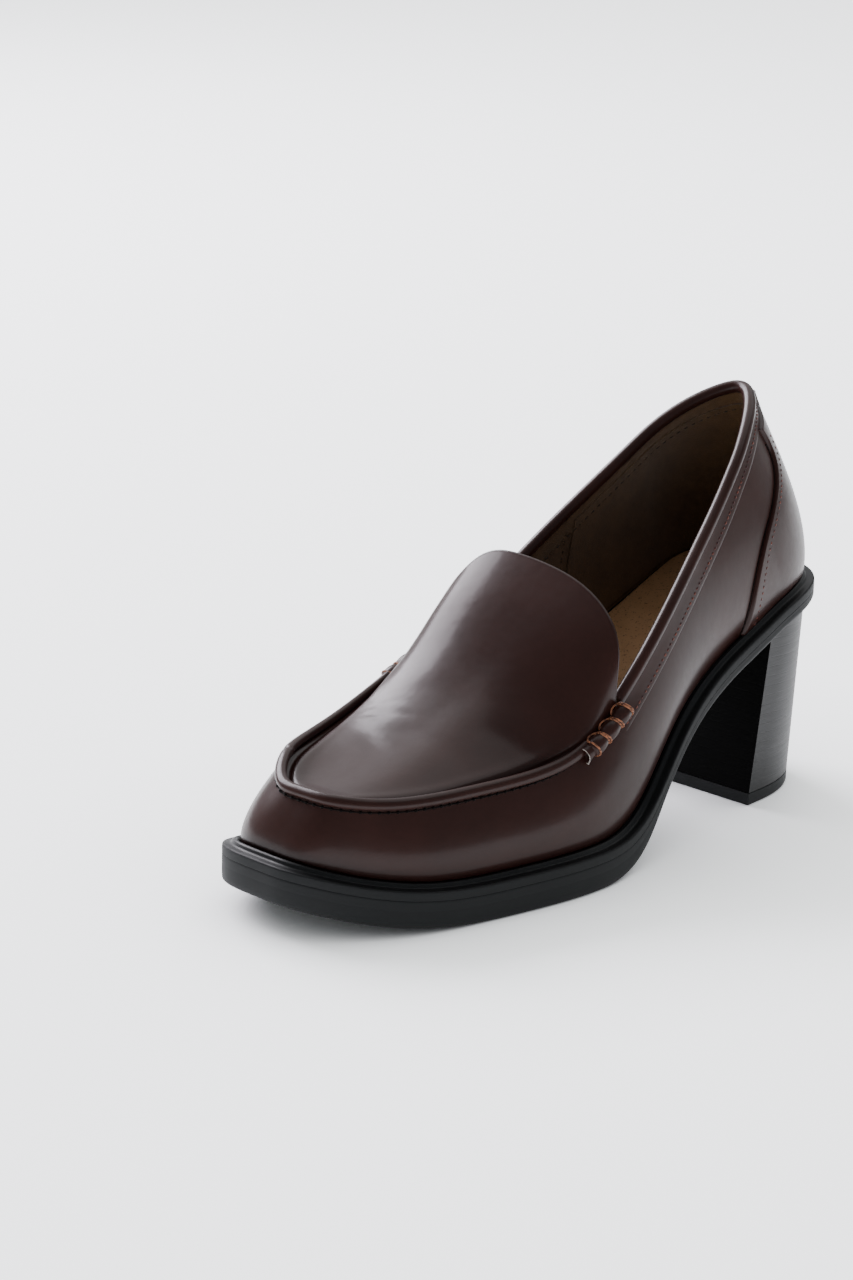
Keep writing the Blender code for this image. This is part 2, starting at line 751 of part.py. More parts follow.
def build_collar_roll(finish):
    """Rolled edge of the collar, on the wall's top from kicker to kicker round the heel."""
    run = collar_run(COLLAR_ROLL_START)
    edge = np.array([TOP.at(side, station) for side, station in run])
    below = np.array([wall_point(side, station, 0.97) for side, station in run])
    normal = np.array([wall_normal(side, station, 1.0) for side, station in run])
    along = np.gradient(edge, axis=0)
    along /= np.linalg.norm(along, axis=1, keepdims=True)
    up = edge - below
    up -= along * np.sum(up * along, axis=1, keepdims=True)
    up /= np.linalg.norm(up, axis=1, keepdims=True)
    route = edge - normal * UPPER_WALL / 2 + up * (COLLAR_ROLL_RADIUS + GAP)
    return tube("collar_roll", route, COLLAR_ROLL_RADIUS, finish)


def build_kicker(side, finish):
    """Wrapped leather bar on the seam, with a lobe between each two turns of thread."""
    front, rear = kicker_span(side)
    count = 8 * KICKER_LOBES + 1
    share = np.linspace(0, 1, count)
    stations = front + (rear - front) * share
    lift = seam_lift(side, stations)
    centre = TOP.at(side, stations) + lift * (KICKER_RADIUS + GAP)
    run = np.gradient(centre, axis=0)
    run /= np.linalg.norm(run, axis=1, keepdims=True)
    cross = np.cross(run, lift)
    cross /= np.linalg.norm(cross, axis=1, keepdims=True)
    swell = 0.80 + 0.20 * np.abs(np.sin(np.pi * KICKER_LOBES * share)) ** 0.6
    turns = np.linspace(0, 2 * np.pi, 12, endpoint=False)
    sections = []
    for i in range(count):
        radius = KICKER_RADIUS * swell[i]
        sections.append(centre[i] + radius * (np.cos(turns)[:, None] * cross[i] + np.sin(turns)[:, None] * lift[i]))
    return loft_solid(f"kicker_{side}", np.array(sections), finish)


def centre_on_floor(pieces):
    """Moves the shoe so that the middle of its outline is over the origin."""
    bpy.context.view_layer.update()
    graph = bpy.context.evaluated_depsgraph_get()
    corners = []
    for piece in pieces:
        shape = piece.evaluated_get(graph)
        mesh = shape.to_mesh()
        places = np.zeros(len(mesh.vertices) * 3)
        mesh.vertices.foreach_get("co", places)
        places = places.reshape(-1, 3)
        corners += [places.min(axis=0), places.max(axis=0)]
        shape.to_mesh_clear()
    middle = (np.min(corners, axis=0) + np.max(corners, axis=0)) / 2
    for piece in pieces:
        piece.location = (-middle[0], -middle[1], 0)


def main():
    for piece in list(bpy.data.objects):
        bpy.data.objects.remove(piece, do_unlink=True)
    collection = bpy.data.collections.new("loafer_pump")
    bpy.context.scene.collection.children.link(collection)
    leather = material("burgundy_leather", "46302E", 0.30)
    rubber = material("black_rubber", "222425", 0.55)
    rand = material("black_rand", "17191A", 0.35)
    stack = material("black_stack", "1D1F20", 0.45)
    insole = material("tan_leather", "7A5E45", 0.65)
    pieces = [
        build_upper(leather),
        build_counter(leather),
        build_collar_strip(leather),
        build_back_tab(leather),
        build_apron_roll(leather),
        build_collar_roll(leather),
        build_kicker("outer", leather),
        build_kicker("inner", leather),
        build_insole(insole),
        build_welt(rand),
        build_outsole(rubber),
        build_heel_block(stack),
        build_toplift(rubber),
    ]
    centre_on_floor(pieces)


main()
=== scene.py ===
"""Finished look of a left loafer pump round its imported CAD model.

The leather, trim, sole and heel are fine meshes of the same last as the CAD pieces that they stand
for. Lengths are in metres. The last has its own frame, with the toe's tip at y = 0 and the heel at
+y, and every mesh is moved from there to the CAD frame in one place, Shoe.shift.
"""
import logging
from collections.abc import Callable, Sequence
from dataclasses import dataclass, field
from enum import Enum

import bpy
import numpy as np
from mathutils import Matrix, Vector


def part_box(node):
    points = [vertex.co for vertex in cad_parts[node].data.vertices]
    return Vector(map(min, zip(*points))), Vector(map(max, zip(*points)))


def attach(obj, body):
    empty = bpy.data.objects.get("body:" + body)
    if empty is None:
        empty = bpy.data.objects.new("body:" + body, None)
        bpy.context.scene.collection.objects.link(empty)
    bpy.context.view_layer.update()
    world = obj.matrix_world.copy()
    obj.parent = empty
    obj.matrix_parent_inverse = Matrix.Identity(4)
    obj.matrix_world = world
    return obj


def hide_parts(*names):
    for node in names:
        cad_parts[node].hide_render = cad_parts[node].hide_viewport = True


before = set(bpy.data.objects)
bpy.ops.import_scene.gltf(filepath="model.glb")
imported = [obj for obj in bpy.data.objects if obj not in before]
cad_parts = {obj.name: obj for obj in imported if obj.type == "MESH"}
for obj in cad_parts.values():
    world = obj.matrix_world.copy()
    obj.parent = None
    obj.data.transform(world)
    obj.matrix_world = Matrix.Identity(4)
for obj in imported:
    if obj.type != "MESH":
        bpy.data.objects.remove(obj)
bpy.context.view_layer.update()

LOG = logging.getLogger("loafer_pump")
MM = 0.001

# Half of the distance over which a direction along a route is read.
PROBE = 0.4 * MM
Array = np.ndarray
Rows = tuple[tuple[float, ...], ...]


class Side(Enum):
    """The two sides of the left foot, with the sign of x there."""

    OUTER = 1
    INNER = -1

    @property
    def other(self) -> "Side":
        """The opposite side."""
        return Side(-self.value)


# Feather line: share of the last's length, outer and inner half width as shares of the ball's
# width, and lift as a share of the heel's.
FEATHER_ROWS: Rows = (
    (0.00, 0.240, 0.330, 0.000), (0.06, 0.310, 0.360, 0.000), (0.12, 0.370, 0.383, 0.000),
    (0.22, 0.440, 0.440, 0.000), (0.32, 0.500, 0.474, 0.000), (0.42, 0.525, 0.444, 0.000),
    (0.52, 0.482, 0.381, 0.090), (0.62, 0.418, 0.341, 0.430), (0.72, 0.374, 0.325, 0.675),
    (0.82, 0.358, 0.325, 0.835), (0.92, 0.340, 0.331, 0.965), (1.00, 0.332, 0.331, 1.000),
)

# Top line: share of its own length, outer and inner half width as shares of the ball's width, and
# outer and inner rise as shares of the collar's lift.
TOP_ROWS: Rows = (
    (0.00, 0.220, 0.190, 0.022, 0.022), (0.06, 0.285, 0.262, 0.002, 0.064),
    (0.12, 0.340, 0.320, -0.004, 0.070), (0.22, 0.400, 0.390, -0.004, 0.080),
    (0.32, 0.450, 0.425, 0.004, 0.125), (0.42, 0.475, 0.430, 0.050, 0.205),
    (0.52, 0.475, 0.415, 0.195, 0.305), (0.62, 0.450, 0.385, 0.390, 0.450),
    (0.72, 0.390, 0.350, 0.565, 0.595), (0.82, 0.320, 0.282, 0.735, 0.758),
    (0.92, 0.240, 0.210, 0.910, 0.915), (1.00, 0.180, 0.160, 1.000, 1.000),
)

# Apron's crown: share from the toe seam to the bars, height, and section from round to square.
CROWN_ROWS: Rows = (
    (0.00, 0.00, 1.00), (0.15, 0.06, 1.00), (0.35, 0.17, 0.95), (0.55, 0.32, 0.80),
    (0.70, 0.49, 0.60), (0.85, 0.71, 0.38), (1.00, 1.00, 0.18),
)

# Front edge of the counter: share of the wall's height and station.
COUNTER_ROWS: Rows = (
    (0.00, 0.735), (0.25, 0.760), (0.45, 0.794), (0.60, 0.846), (0.72, 0.896), (0.84, 0.912), (1.00, 0.904),
)

# Band under the collar's roll: station, its width and how far its stitches stand from its edge,
# both in millimetres.
BAND_ROWS: Rows = ((0.40, 8.5, 2.1), (0.62, 8.5, 2.1), (0.75, 7.0, 2.3), (0.88, 5.2, 2.5), (1.00, 5.0, 2.5))

# Section of the welt: share of its width out from the upper, of its height and of the bead's rise.
WELT_SECTION: Rows = (
    (0.00, -0.08, 0.00), (0.985, -0.14, 0.00), (1.00, -0.04, 0.00), (1.00, 0.55, 0.00), (0.99, 0.80, 0.00),
    (0.94, 0.92, 0.00), (0.78, 0.95, 0.00), (0.46, 0.95, 0.00), (0.38, 1.00, 0.75), (0.28, 1.00, 1.00),
    (0.14, 1.00, 1.00), (0.00, 0.85, 0.00),
)

# Creases of the vamp. Each row has its middle across and along the apron, its half
# length and half width in millimetres, its turn in degrees and its depth in millimetres.
CREASE_ROWS: Rows = (
    (0.10, 0.50, 18.0, 4.2, 12.0, 0.16),
    (-0.30, 0.42, 13.0, 3.6, -18.0, 0.10),
    (0.48, 0.62, 12.0, 3.4, 30.0, 0.14),
    (-0.05, 0.70, 16.0, 4.6, 4.0, 0.14),
    (-0.55, 0.60, 11.0, 3.2, -35.0, 0.12),
    (-0.35, 0.55, 7.0, 1.1, 20.0, 0.10),
    (-0.28, 0.58, 6.0, 1.0, 8.0, 0.09),
    (-0.42, 0.60, 5.0, 0.9, 32.0, 0.08),
)


# Turns of thread round a bar: share of its length and how far the turn slants along it.
BAR_TURNS: Rows = (
    (0.975, 0.010), (0.940, 0.010), (0.690, 0.016), (0.655, 0.016), (0.355, 0.016), (0.320, 0.016),
    (0.060, 0.012),
)


def spline(rows: Rows, column: int) -> Callable[[Array], Array]:
    """Natural cubic spline through a column of a table, over its first column.

    Args:
        rows: The table.
        column: Number of the column to read.

    Returns:
        A function that reads the curve at any share.
    """
    knots = np.array([row[0] for row in rows])
    values = np.array([row[column] for row in rows])
    steps = np.diff(knots)
    slopes = np.diff(values) / steps
    matrix = np.eye(len(knots))
    right = np.zeros(len(knots))
    for i in range(1, len(knots) - 1):
        matrix[i, i - 1:i + 2] = steps[i - 1], 2 * (steps[i - 1] + steps[i]), steps[i]
        right[i] = 6 * (slopes[i] - slopes[i - 1])
    bends = np.linalg.solve(matrix, right)

    def read(at: Array) -> Array:
        """Height of the curve at a share."""
        at = np.asarray(at, float)
        i = np.clip(np.searchsorted(knots, at) - 1, 0, len(knots) - 2)
        before = at - knots[i]
        after = knots[i + 1] - at
        cubic = (bends[i] * after ** 3 + bends[i + 1] * before ** 3) / (6 * steps[i])
        start = (values[i] / steps[i] - bends[i] * steps[i] / 6) * after
        end = (values[i + 1] / steps[i] - bends[i + 1] * steps[i] / 6) * before
        return cubic + start + end

    return read


def unit(vectors: Array) -> Array:
    """Vectors brought to length one."""
    return vectors / np.maximum(np.linalg.norm(vectors, axis=-1, keepdims=True), 1e-12)


def ease(share: Array) -> Array:
    """Smooth step from 0 to 1."""
    share = np.clip(share, 0, 1)
    return share * share * (3 - 2 * share)


def spaced(count: int, crowding: float = 1.6) -> Array:
    """Shares from 0 to 1 that crowd together at both ends.

    Args:
        count: How many shares.
        crowding: 1 for even shares, and more to crowd them.

    Returns:
        The shares in rising order.
    """
    at = np.linspace(-1, 1, count)
    return (1 + np.sign(at) * (1 - (1 - np.abs(at)) ** crowding)) / 2


def chaikin(points: Array, rounds: int, closed: bool) -> Array:
    """Rounds the corners of a section by cutting them.

    Args:
        points: The section's corners.
        rounds: How many times to cut.
        closed: Whether the last corner joins the first.

    Returns:
        The rounded section.
    """
    for _ in range(rounds):
        after = np.roll(points, -1, axis=0) if closed else points[1:]
        before = points if closed else points[:-1]
        cut = np.stack([0.75 * before + 0.25 * after, 0.25 * before + 0.75 * after], axis=1)
        cut = cut.reshape(-1, points.shape[1])
        points = cut if closed else np.concatenate([points[:1], cut, points[-1:]])
    return points


def read_rows(at: Array, marks: Array, rows: Array) -> Array:
    """Points of a table, read between its marks."""
    return np.stack([np.interp(at, marks, rows[:, i]) for i in range(3)], axis=-1)


def run_length(points: Array) -> Array:
    """Distance gone along a row of points, at each of them."""
    return np.concatenate([[0], np.cumsum(np.linalg.norm(np.diff(points, axis=0), axis=1))])


@dataclass(frozen=True)
class LineEnds:
    """How a line round the last turns at its ends: reach as a share of it, and roundness."""

    outer_toe: tuple[float, float]
    inner_toe: tuple[float, float]
    heel: tuple[float, float]
    slant: float = 0.0


@dataclass
class Line:
    """A closed line round the last, read by side and station from toe 0 to heel 1."""

    rows: Rows
    width: float
    start: float
    length: float
    heights: dict[Side, Callable[[Array], Array]]
    ends: LineEnds
    steps: int = 500
    toe_station: float = 0.20
    heel_station: float = 0.82
    probe: float = 0.012
    slant_reach: float = 0.16
    sides: dict[Side, tuple[Array, Array]] = field(default_factory=dict)

    def __post_init__(self) -> None:
        """Works out both sides."""
        toes = ((Side.OUTER, 1, self.ends.outer_toe), (Side.INNER, 2, self.ends.inner_toe))
        for side, column, toe in toes:
            half = spline(self.rows, column)
            share, fullness, station = self._curve(half, toe)
            x = side.value * self.width * half(share) * fullness
            slant = self.ends.slant * x * np.exp(-((share / self.slant_reach) ** 2))
            y = self.start + share * self.length + slant
            self.sides[side] = station, np.stack([x, y, self.heights[side](share)], axis=-1)

    def _curve(self, half: Callable[[Array], Array], toe: tuple[float, float]) -> tuple[Array, Array, Array]:
        """Shares along one side, how full its width is there, and its stations.

        Args:
            half: Half width of the side as a share of the ball's width.
            toe: Reach and roundness of its toe curve.

        Returns:
            The shares, the fullness and the stations.
        """
        turn = np.linspace(1e-5, np.pi / 2, self.steps)
        bends = []
        for reach, roundness in (toe, self.ends.heel):
            power = 2 / roundness
            bends.append((reach * (1 - np.cos(turn) ** power), np.sin(turn) ** power))
        middle = np.linspace(toe[0], 1 - self.ends.heel[0], self.steps)
        share = np.concatenate([bends[0][0][:-1], middle, 1 - bends[1][0][::-1][1:]])
        fullness = np.concatenate([bends[0][1][:-1], np.ones(self.steps), bends[1][1][::-1][1:]])
        across = self.width * half(share) * fullness
        run = run_length(np.stack([share * self.length, across], axis=-1))
        marks = [0, run[self.steps - 1], run[2 * self.steps - 2], run[-1]]
        return share, fullness, np.interp(run, marks, [0, self.toe_station, self.heel_station, 1])

    def at(self, side: Side, station: Array) -> Array:
        """Points at stations of one side, which go on over the tips to the other side.

        Args:
            side: The side.
            station: Stations from 0 at the toe to 1 at the heel.

        Returns:
            The points.
        """
        station = np.asarray(station, float)
        folded = np.where(station > 1, 2 - station, np.abs(station))
        near, far = [read_rows(folded, *self.sides[which]) for which in (side, side.other)]
        return np.where(((station < 0) | (station > 1))[..., None], far, near)

    def outward(self, side: Side, station: Array) -> Array:
        """Level directions out of the line at stations of one side.

        Args:
            side: The side.
            station: Stations from 0 at the toe to 1 at the heel.

        Returns:
            Level directions out of the line.
        """
        station = np.asarray(station, float)
        run = self.at(side, station + self.probe) - self.at(side, station - self.probe)
        level = [side.value * run[..., 1], -side.value * run[..., 0], np.zeros(run.shape[:-1])]
        return unit(np.stack(level, axis=-1))

    def after(self, side: Side, station: float, distance: float) -> float:
        """Station reached by going a distance along one side, towards the heel if it is positive.

        Args:
            side: The side.
            station: Where to start.
            distance: How far to go.

        Returns:
            The station.
        """
        stations, points = self.sides[side]
        run = run_length(points)
        return float(np.interp(np.interp(station, stations, run) + distance, run, stations))


@dataclass
class Last:
    """The last: its sizes and the surfaces that every piece is cut from."""

    length: float = 0.240
    ball_width: float = 0.080
    forefoot_height: float = 0.0130
    heel_lift: float = 0.0630
    toe_spring: float = 0.0105
    spring_reach: float = 0.0640
    bulge: float = 0.0040
    heel_bulge: float = 0.0068
    toe_flatness: float = 0.55
    seam_setback: float = 0.0078
    seam_height: float = 0.0400
    collar_setback: float = 0.0185
    collar_lift: float = 0.1000
    crown: float = 0.0260
    tongue_length: float = 0.0130
    tongue_slope: float = 0.9
    tongue_skew: float = 0.35
    tongue_shoulder: float = 0.0042
    inner_slope: float = 0.14
    corner: float = 0.13
    heel_station: float = 0.82
    outer_bar: float = 0.458
    inner_bar: float = 0.447
    bulge_height: float = 0.4
    spring_power: float = 2.5
    flat_reach: float = 0.22
    crown_round: float = 2.4
    tongue_round: float = 1.3
    shoulder_place: float = -0.55
    shoulder_width: float = 0.3

    def __post_init__(self) -> None:
        """Makes the feather line and the top line."""
        outer_rise = spline(TOP_ROWS, 3)
        inner_rise = spline(TOP_ROWS, 4)
        self.bars = {Side.OUTER: self.outer_bar, Side.INNER: self.inner_bar}
        self.feather = Line(FEATHER_ROWS, self.ball_width, 0.0, self.length,
                            {Side.OUTER: self.foot, Side.INNER: self.foot},
                            LineEnds((0.20, 2.6), (0.12, 3.9), (0.12, 2.3)))
        self.top = Line(TOP_ROWS, self.ball_width, self.seam_setback,
                        self.length - self.seam_setback - self.collar_setback,
                        {Side.OUTER: lambda s: self.seam_height + self.collar_lift * outer_rise(s),
                         Side.INNER: lambda s: self.seam_height + self.collar_lift * inner_rise(s)},
                        LineEnds((0.23, 4.6), (0.14, 3.4), (0.14, 2.0), 0.05))

    def foot(self, share: Array) -> Array:
        """Height of the feather line at a share of the last's length."""
        lifted = self.heel_lift * np.clip(spline(FEATHER_ROWS, 3)(share), 0, None)
        return self.forefoot_height + self.spring(share * self.length) + lifted

    def spring(self, y: Array) -> Array:
        """Rise of the toe off the floor."""
        return self.toe_spring * np.clip(1 - y / self.spring_reach, 0, 1) ** self.spring_power

    def wall(self, side: Side, station: Array, rise: Array) -> Array:
        """Outer face of the wall, from the feather line at rise 0 to the top line at 1.

        Args:
            side: The side.
            station: Stations from 0 at the toe to 1 at the heel.
            rise: Shares of the wall's height.

        Returns:
            Points on the wall.
        """
        station, rise = np.broadcast_arrays(station, rise)
        foot = self.feather.at(side, station)
        toward_heel = 1 - np.abs(1 - station) - self.heel_station
        heel = np.clip(toward_heel / (1 - self.heel_station), 0, 1)
        low, high = 2 * self.bulge_height, 2 * (1 - self.bulge_height)
        fullness = rise ** low * (1 - rise) ** high / (
            self.bulge_height ** low * (1 - self.bulge_height) ** high)
        toe = self.toe_flatness * (1 - ease(np.abs(station) / self.flat_reach))
        swell = (self.bulge * (1 - toe) + (self.heel_bulge - self.bulge) * heel) * fullness
        out = self.feather.outward(side, station)
        return foot + (self.top.at(side, station) - foot) * rise[..., None] + swell[..., None] * out

    def wall_normal(self, side: Side, station: Array, rise: Array) -> Array:
        """Directions out of the wall.

        Args:
            side: The side.
            station: Stations from 0 at the toe to 1 at the heel.
            rise: Shares of the wall's height.

        Returns:
            The directions.
        """
        step = 0.01
        station, rise = np.broadcast_arrays(np.asarray(station, float), np.asarray(rise, float))
        above, below = np.clip(rise + step, 0, 1), np.clip(rise - step, 0, 1)
        up = self.wall(side, station, above) - self.wall(side, station, below)
        run = self.wall(side, station + step, rise) - self.wall(side, station - step, rise)
        return unit(side.value * np.cross(run, up))

    def wall_height(self, side: Side, station: float) -> float:
        """Length of the wall from the feather line to the top line."""
        return float(np.linalg.norm(self.top.at(side, station) - self.feather.at(side, station)))

    def apron(self, across: Array, along: Array) -> Array:
        """Outer face of the apron.

        Args:
            across: From -1 on the inner seam to 1 on the outer one.
            along: From 0 at the toe seam to 1 at the bars.

        Returns:
            Points on the apron.
        """
        across, along = np.broadcast_arrays(np.asarray(across, float), np.asarray(along, float))
        across = across * (1 - along) + np.sin(across * np.pi / 2) * along
        front = np.where(across[..., None] < 0, self.top.at(Side.INNER, -across * self.corner),
                         self.top.at(Side.OUTER, across * self.corner))
        edges = {}
        for side, end in self.bars.items():
            edges[side] = self.top.at(side, self.corner + along * (end - self.corner))
        share = (across[..., None] + 1) / 2
        corners = (self.top.at(Side.INNER, self.corner) * (1 - share)
                   + self.top.at(Side.OUTER, self.corner) * share)
        point = edges[Side.INNER] * (1 - share) + edges[Side.OUTER] * share
        point += (front - corners) * (1 - along[..., None])
        height = self.crown * spline(CROWN_ROWS, 1)(along)
        inner = self.inner_slope * ease((along - 0.5) / 0.5) * (across < 0)
        bend = spline(CROWN_ROWS, 2)(along) + inner
        point[..., 2] += height * np.clip(1 - np.abs(across) ** self.crown_round, 0, 1) ** bend
        return point

    def tongue(self, across: Array, along: Array) -> Array:
        """The apron's free end behind the bars, from 0 at its start to 1 at its edge.

        Args:
            across: From -1 on the inner seam to 1 on the outer one.
            along: From 0 to 1.

        Returns:
            Points on the tongue.
        """
        across, along = np.broadcast_arrays(np.asarray(across, float), np.asarray(along, float))
        reach = self.tongue_length * np.clip(1 - across ** 2, 0, 1) ** self.tongue_round
        reach = reach * (1 - self.tongue_skew * across)
        shoulder = np.exp(-((across - self.shoulder_place) / self.shoulder_width) ** 2) * (1 - across ** 6)
        reach = along * (reach + self.tongue_shoulder * shoulder)
        start = self.apron(across, np.ones(across.shape))
        return start + reach[..., None] * np.array([0, 1, self.tongue_slope])

    def apron_normal(self, across: Array, along: Array) -> Array:
        """Directions up out of the apron.

        Args:
            across: From -1 on the inner seam to 1 on the outer one.
            along: From 0 at the toe seam to 1 at the bars.

        Returns:
            The directions.
        """
        step = 0.02
        left, right = np.clip(across - step, -1, 1), np.clip(across + step, -1, 1)
        front, behind = np.clip(along - step, 0, 1), np.clip(along + step, 0, 1)
        side = self.apron(right, along) - self.apron(left, along)
        run = self.apron(across, behind) - self.apron(across, front)
        return unit(np.cross(side, run))

    def seam_lift(self, side: Side, station: Array) -> Array:
        """Directions half way between the wall's and the apron's, on the seam.

        Args:
            side: The side.
            station: Stations from 0 at the toe to 1 at the heel.

        Returns:
            The directions.
        """
        station = np.asarray(station, float)
        on_front = station < self.corner
        across = np.where(on_front, side.value * station / self.corner, side.value)
        along = np.where(on_front, 0, (station - self.corner) / (self.bars[side] - self.corner))
        apron = self.apron_normal(across, np.clip(along, 0, 1))
        return unit(self.wall_normal(side, station, np.ones(station.shape)) + apron)


@dataclass(frozen=True)
class Mesh:
    """Points, faces and the material number of each face."""

    points: Array
    faces: Array
    finish: Array

    @staticmethod
    def join(parts: Sequence["Mesh"]) -> "Mesh":
        """Several meshes as one.

        Args:
            parts: The meshes.

        Returns:
            The joined mesh.
        """
        offset = np.cumsum([0] + [len(part.points) for part in parts[:-1]])
        return Mesh(np.concatenate([part.points for part in parts]),
                    np.concatenate([part.faces + start for part, start in zip(parts, offset)]),
                    np.concatenate([part.finish for part in parts]))


def quads(index: Array, ring: bool = False) -> Array:
    """Faces over a table of point numbers, joined round its columns if it is a ring.

    Args:
        index: Numbers of the points, by column and row.
        ring: Whether the last column joins the first.

    Returns:
        The faces.
    """
    after = np.roll(index, -1, axis=0) if ring else index[1:]
    before = index if ring else index[:-1]
    corners = (before[:, :-1], after[:, :-1], after[:, 1:], before[:, 1:])
    return np.stack([corner.reshape(-1) for corner in corners], axis=-1)


def grid_normals(points: Array, ring: bool) -> Array:
    """Unit normals of a grid of points.

    Args:
        points: The grid, by column and row.
        ring: Whether the last column joins the first.

    Returns:
        A direction for each point.
    """
    if ring:
        run = np.roll(points, -1, axis=0) - np.roll(points, 1, axis=0)
    else:
        run = np.gradient(points, axis=0)
    return unit(np.cross(run, np.gradient(points, axis=1)))


def shell(outer: Array, inner: Array, ring: bool, outside: int = 0, inside: int = 0,
          rim: int | None = None) -> Mesh:
    """A closed wall between two grids of points.

    Args:
        outer: The face that its normals leave.
        inner: The face behind it.
        ring: Whether the columns join round.
        outside: Material number of the outer face and the edges.
        inside: Material number of the inner face.
        rim: Material number of the edge along the last row, if it has its own.

    Returns:
        The wall as one closed mesh.
    """
    columns, rows = outer.shape[:2]
    front = np.arange(columns * rows).reshape(columns, rows)
    back = front + columns * rows
    parts = [(quads(front, ring), outside), (quads(back, ring)[:, ::-1], inside)]
    loops = [(back[:, :1], front[:, :1]), (front[:, -1:], back[:, -1:])]
    edges = (outside, outside if rim is None else rim)
    parts += [(quads(np.concatenate(pair, axis=1), ring), edge) for pair, edge in zip(loops, edges)]
    if not ring:
        ends = [(front[:1], back[:1]), (back[-1:], front[-1:])]
        parts += [(quads(np.concatenate(pair, axis=0)), outside) for pair in ends]
    faces = np.concatenate([part for part, _ in parts])
    finish = np.concatenate([np.full(len(part), number) for part, number in parts])
    return Mesh(np.concatenate([outer.reshape(-1, 3), inner.reshape(-1, 3)]), faces, finish)


def sweep(route: Array, sideways: Array, upward: Array, section: Array) -> Mesh:
    """A solid swept along a route, with filled ends.

    Args:
        route: Points along the middle.
        sideways: Directions of the section's first axis.
        upward: Directions of its second axis.
        section: The section's corners, one table for all of the route or one for each point.

    Returns:
        The swept mesh.
    """
    section = np.broadcast_to(section, (len(route),) + section.shape[-2:])
    across, high = sideways[:, None] * section[..., :1], upward[:, None] * section[..., 1:]
    return closed_tube(route[:, None] + across + high)


def circle(radius: float, count: int, flatness: float = 1.0) -> Array:
    """A round section, or a flattened one.

    Args:
        radius: Its radius.
        count: How many corners it has.
        flatness: Height as a share of width.

    Returns:
        The section's corners.
    """
    turn = np.linspace(0, 2 * np.pi, count, endpoint=False)
    return np.stack([radius * np.cos(turn), radius * flatness * np.sin(turn)], axis=-1)


def frames(route: Array, upward: Array) -> tuple[Array, Array]:
    """Sideways and upward directions square to a route.

    Args:
        route: Points along the middle.
        upward: Directions that are roughly up out of the surface.

    Returns:
        The sideways and the upward directions.
    """
    run = unit(np.gradient(route, axis=0))
    up = unit(upward - run * np.sum(run * upward, axis=1, keepdims=True))
    return np.cross(run, up), up


def along_route(route: Array, upward: Array, pitch: float, inset: float = 0.0) -> tuple[Array, Array, Array]:
    """Evenly spaced places on a route.

    Args:
        route: Points along the route.
        upward: Directions out of the surface there.
        pitch: Distance between places.
        inset: Distance left free at both ends.

    Returns:
        The places, their directions along the route and their directions up.
    """
    run = run_length(route)
    count = max(int((run[-1] - 2 * inset) / pitch), 1)
    at = np.linspace(inset, run[-1] - inset, count)
    ahead, behind = read_rows(at + PROBE, run, route), read_rows(at - PROBE, run, route)
    return read_rows(at, run, route), unit(ahead - behind), unit(read_rows(at, run, upward))


def stitches(route: Array, upward: Array, pitch: float, length: float, radius: float) -> Mesh:
    """A row of stitches as one joined mesh.

    Args:
        route: Points along the row.
        upward: Directions out of the leather.
        pitch: Distance from stitch to stitch.
        length: Length of one stitch.
        radius: Radius of the thread.

    Returns:
        The stitches.
    """
    place, run, up = along_route(route, upward, pitch, pitch / 2)
    side = np.cross(run, up)
    reach = np.linspace(-1, 1, 7)
    fullness = np.sqrt(1 - (0.96 * reach) ** 2)
    turn = np.linspace(0, 2 * np.pi, 8, endpoint=False)
    parts = []
    for here, ahead, out, wide in zip(place, run, up, side):
        dip = -radius * 0.9 * reach ** 2
        middle = here + ahead * (reach * length / 2)[:, None] + out * dip[:, None]
        away = np.cos(turn)[:, None] * wide + np.sin(turn)[:, None] * out
        parts.append(closed_tube(middle[:, None] + radius * fullness[:, None, None] * away))
    return Mesh.join(parts)


def closed_tube(rings: Array) -> Mesh:
    """Rings of points joined to a closed tube with fanned ends.

    Args:
        rings: A ring of points for each place along the tube.

    Returns:
        The tube.
    """
    count, around = rings.shape[:2]
    index = np.arange(count * around).reshape(count, around)
    first, last = np.full(around, count * around), np.full(around, count * around + 1)
    here = np.arange(around)
    after = (here + 1) % around
    faces = np.concatenate([
        quads(np.concatenate([index, index[:, :1]], axis=1)),
        np.stack([first, index[0, after], index[0, here], index[0, here]], axis=-1),
        np.stack([last, index[-1, here], index[-1, after], index[-1, after]], axis=-1)])
    points = np.concatenate([rings.reshape(-1, 3), rings[:1].mean(axis=1), rings[-1:].mean(axis=1)])
    return Mesh(points, faces, np.zeros(len(faces), int))


def linear(code: str) -> tuple[float, float, float, float]:
    """Linear colour of a six digit sRGB code.

    Args:
        code: The code.

    Returns:
        Red, green, blue and opacity.
    """
    parts = [int(code[i:i + 2], 16) / 255 for i in (0, 2, 4)]
    red, green, blue = [c / 12.92 if c <= 0.04045 else ((c + 0.055) / 1.055) ** 2.4 for c in parts]
    return red, green, blue, 1.0


def add_node(tree: bpy.types.NodeTree, kind: str, values: dict | None = None, links: dict | None = None,
             **settings: object) -> bpy.types.Node:
    """Adds a node to a material.

    Args:
        tree: The material's node tree.
        kind: The node's type.
        values: Values of its inputs by name or number.
        links: Outputs that feed its inputs, by the inputs' name or number.
        **settings: The node's own settings.

    Returns:
        The new node.
    """
    node = tree.nodes.new(kind)
    for name, value in settings.items():
        setattr(node, name, value)
    for name, value in (values or {}).items():
        node.inputs[name].default_value = value
    for name, source in (links or {}).items():
        tree.links.new(source, node.inputs[name])
    return node


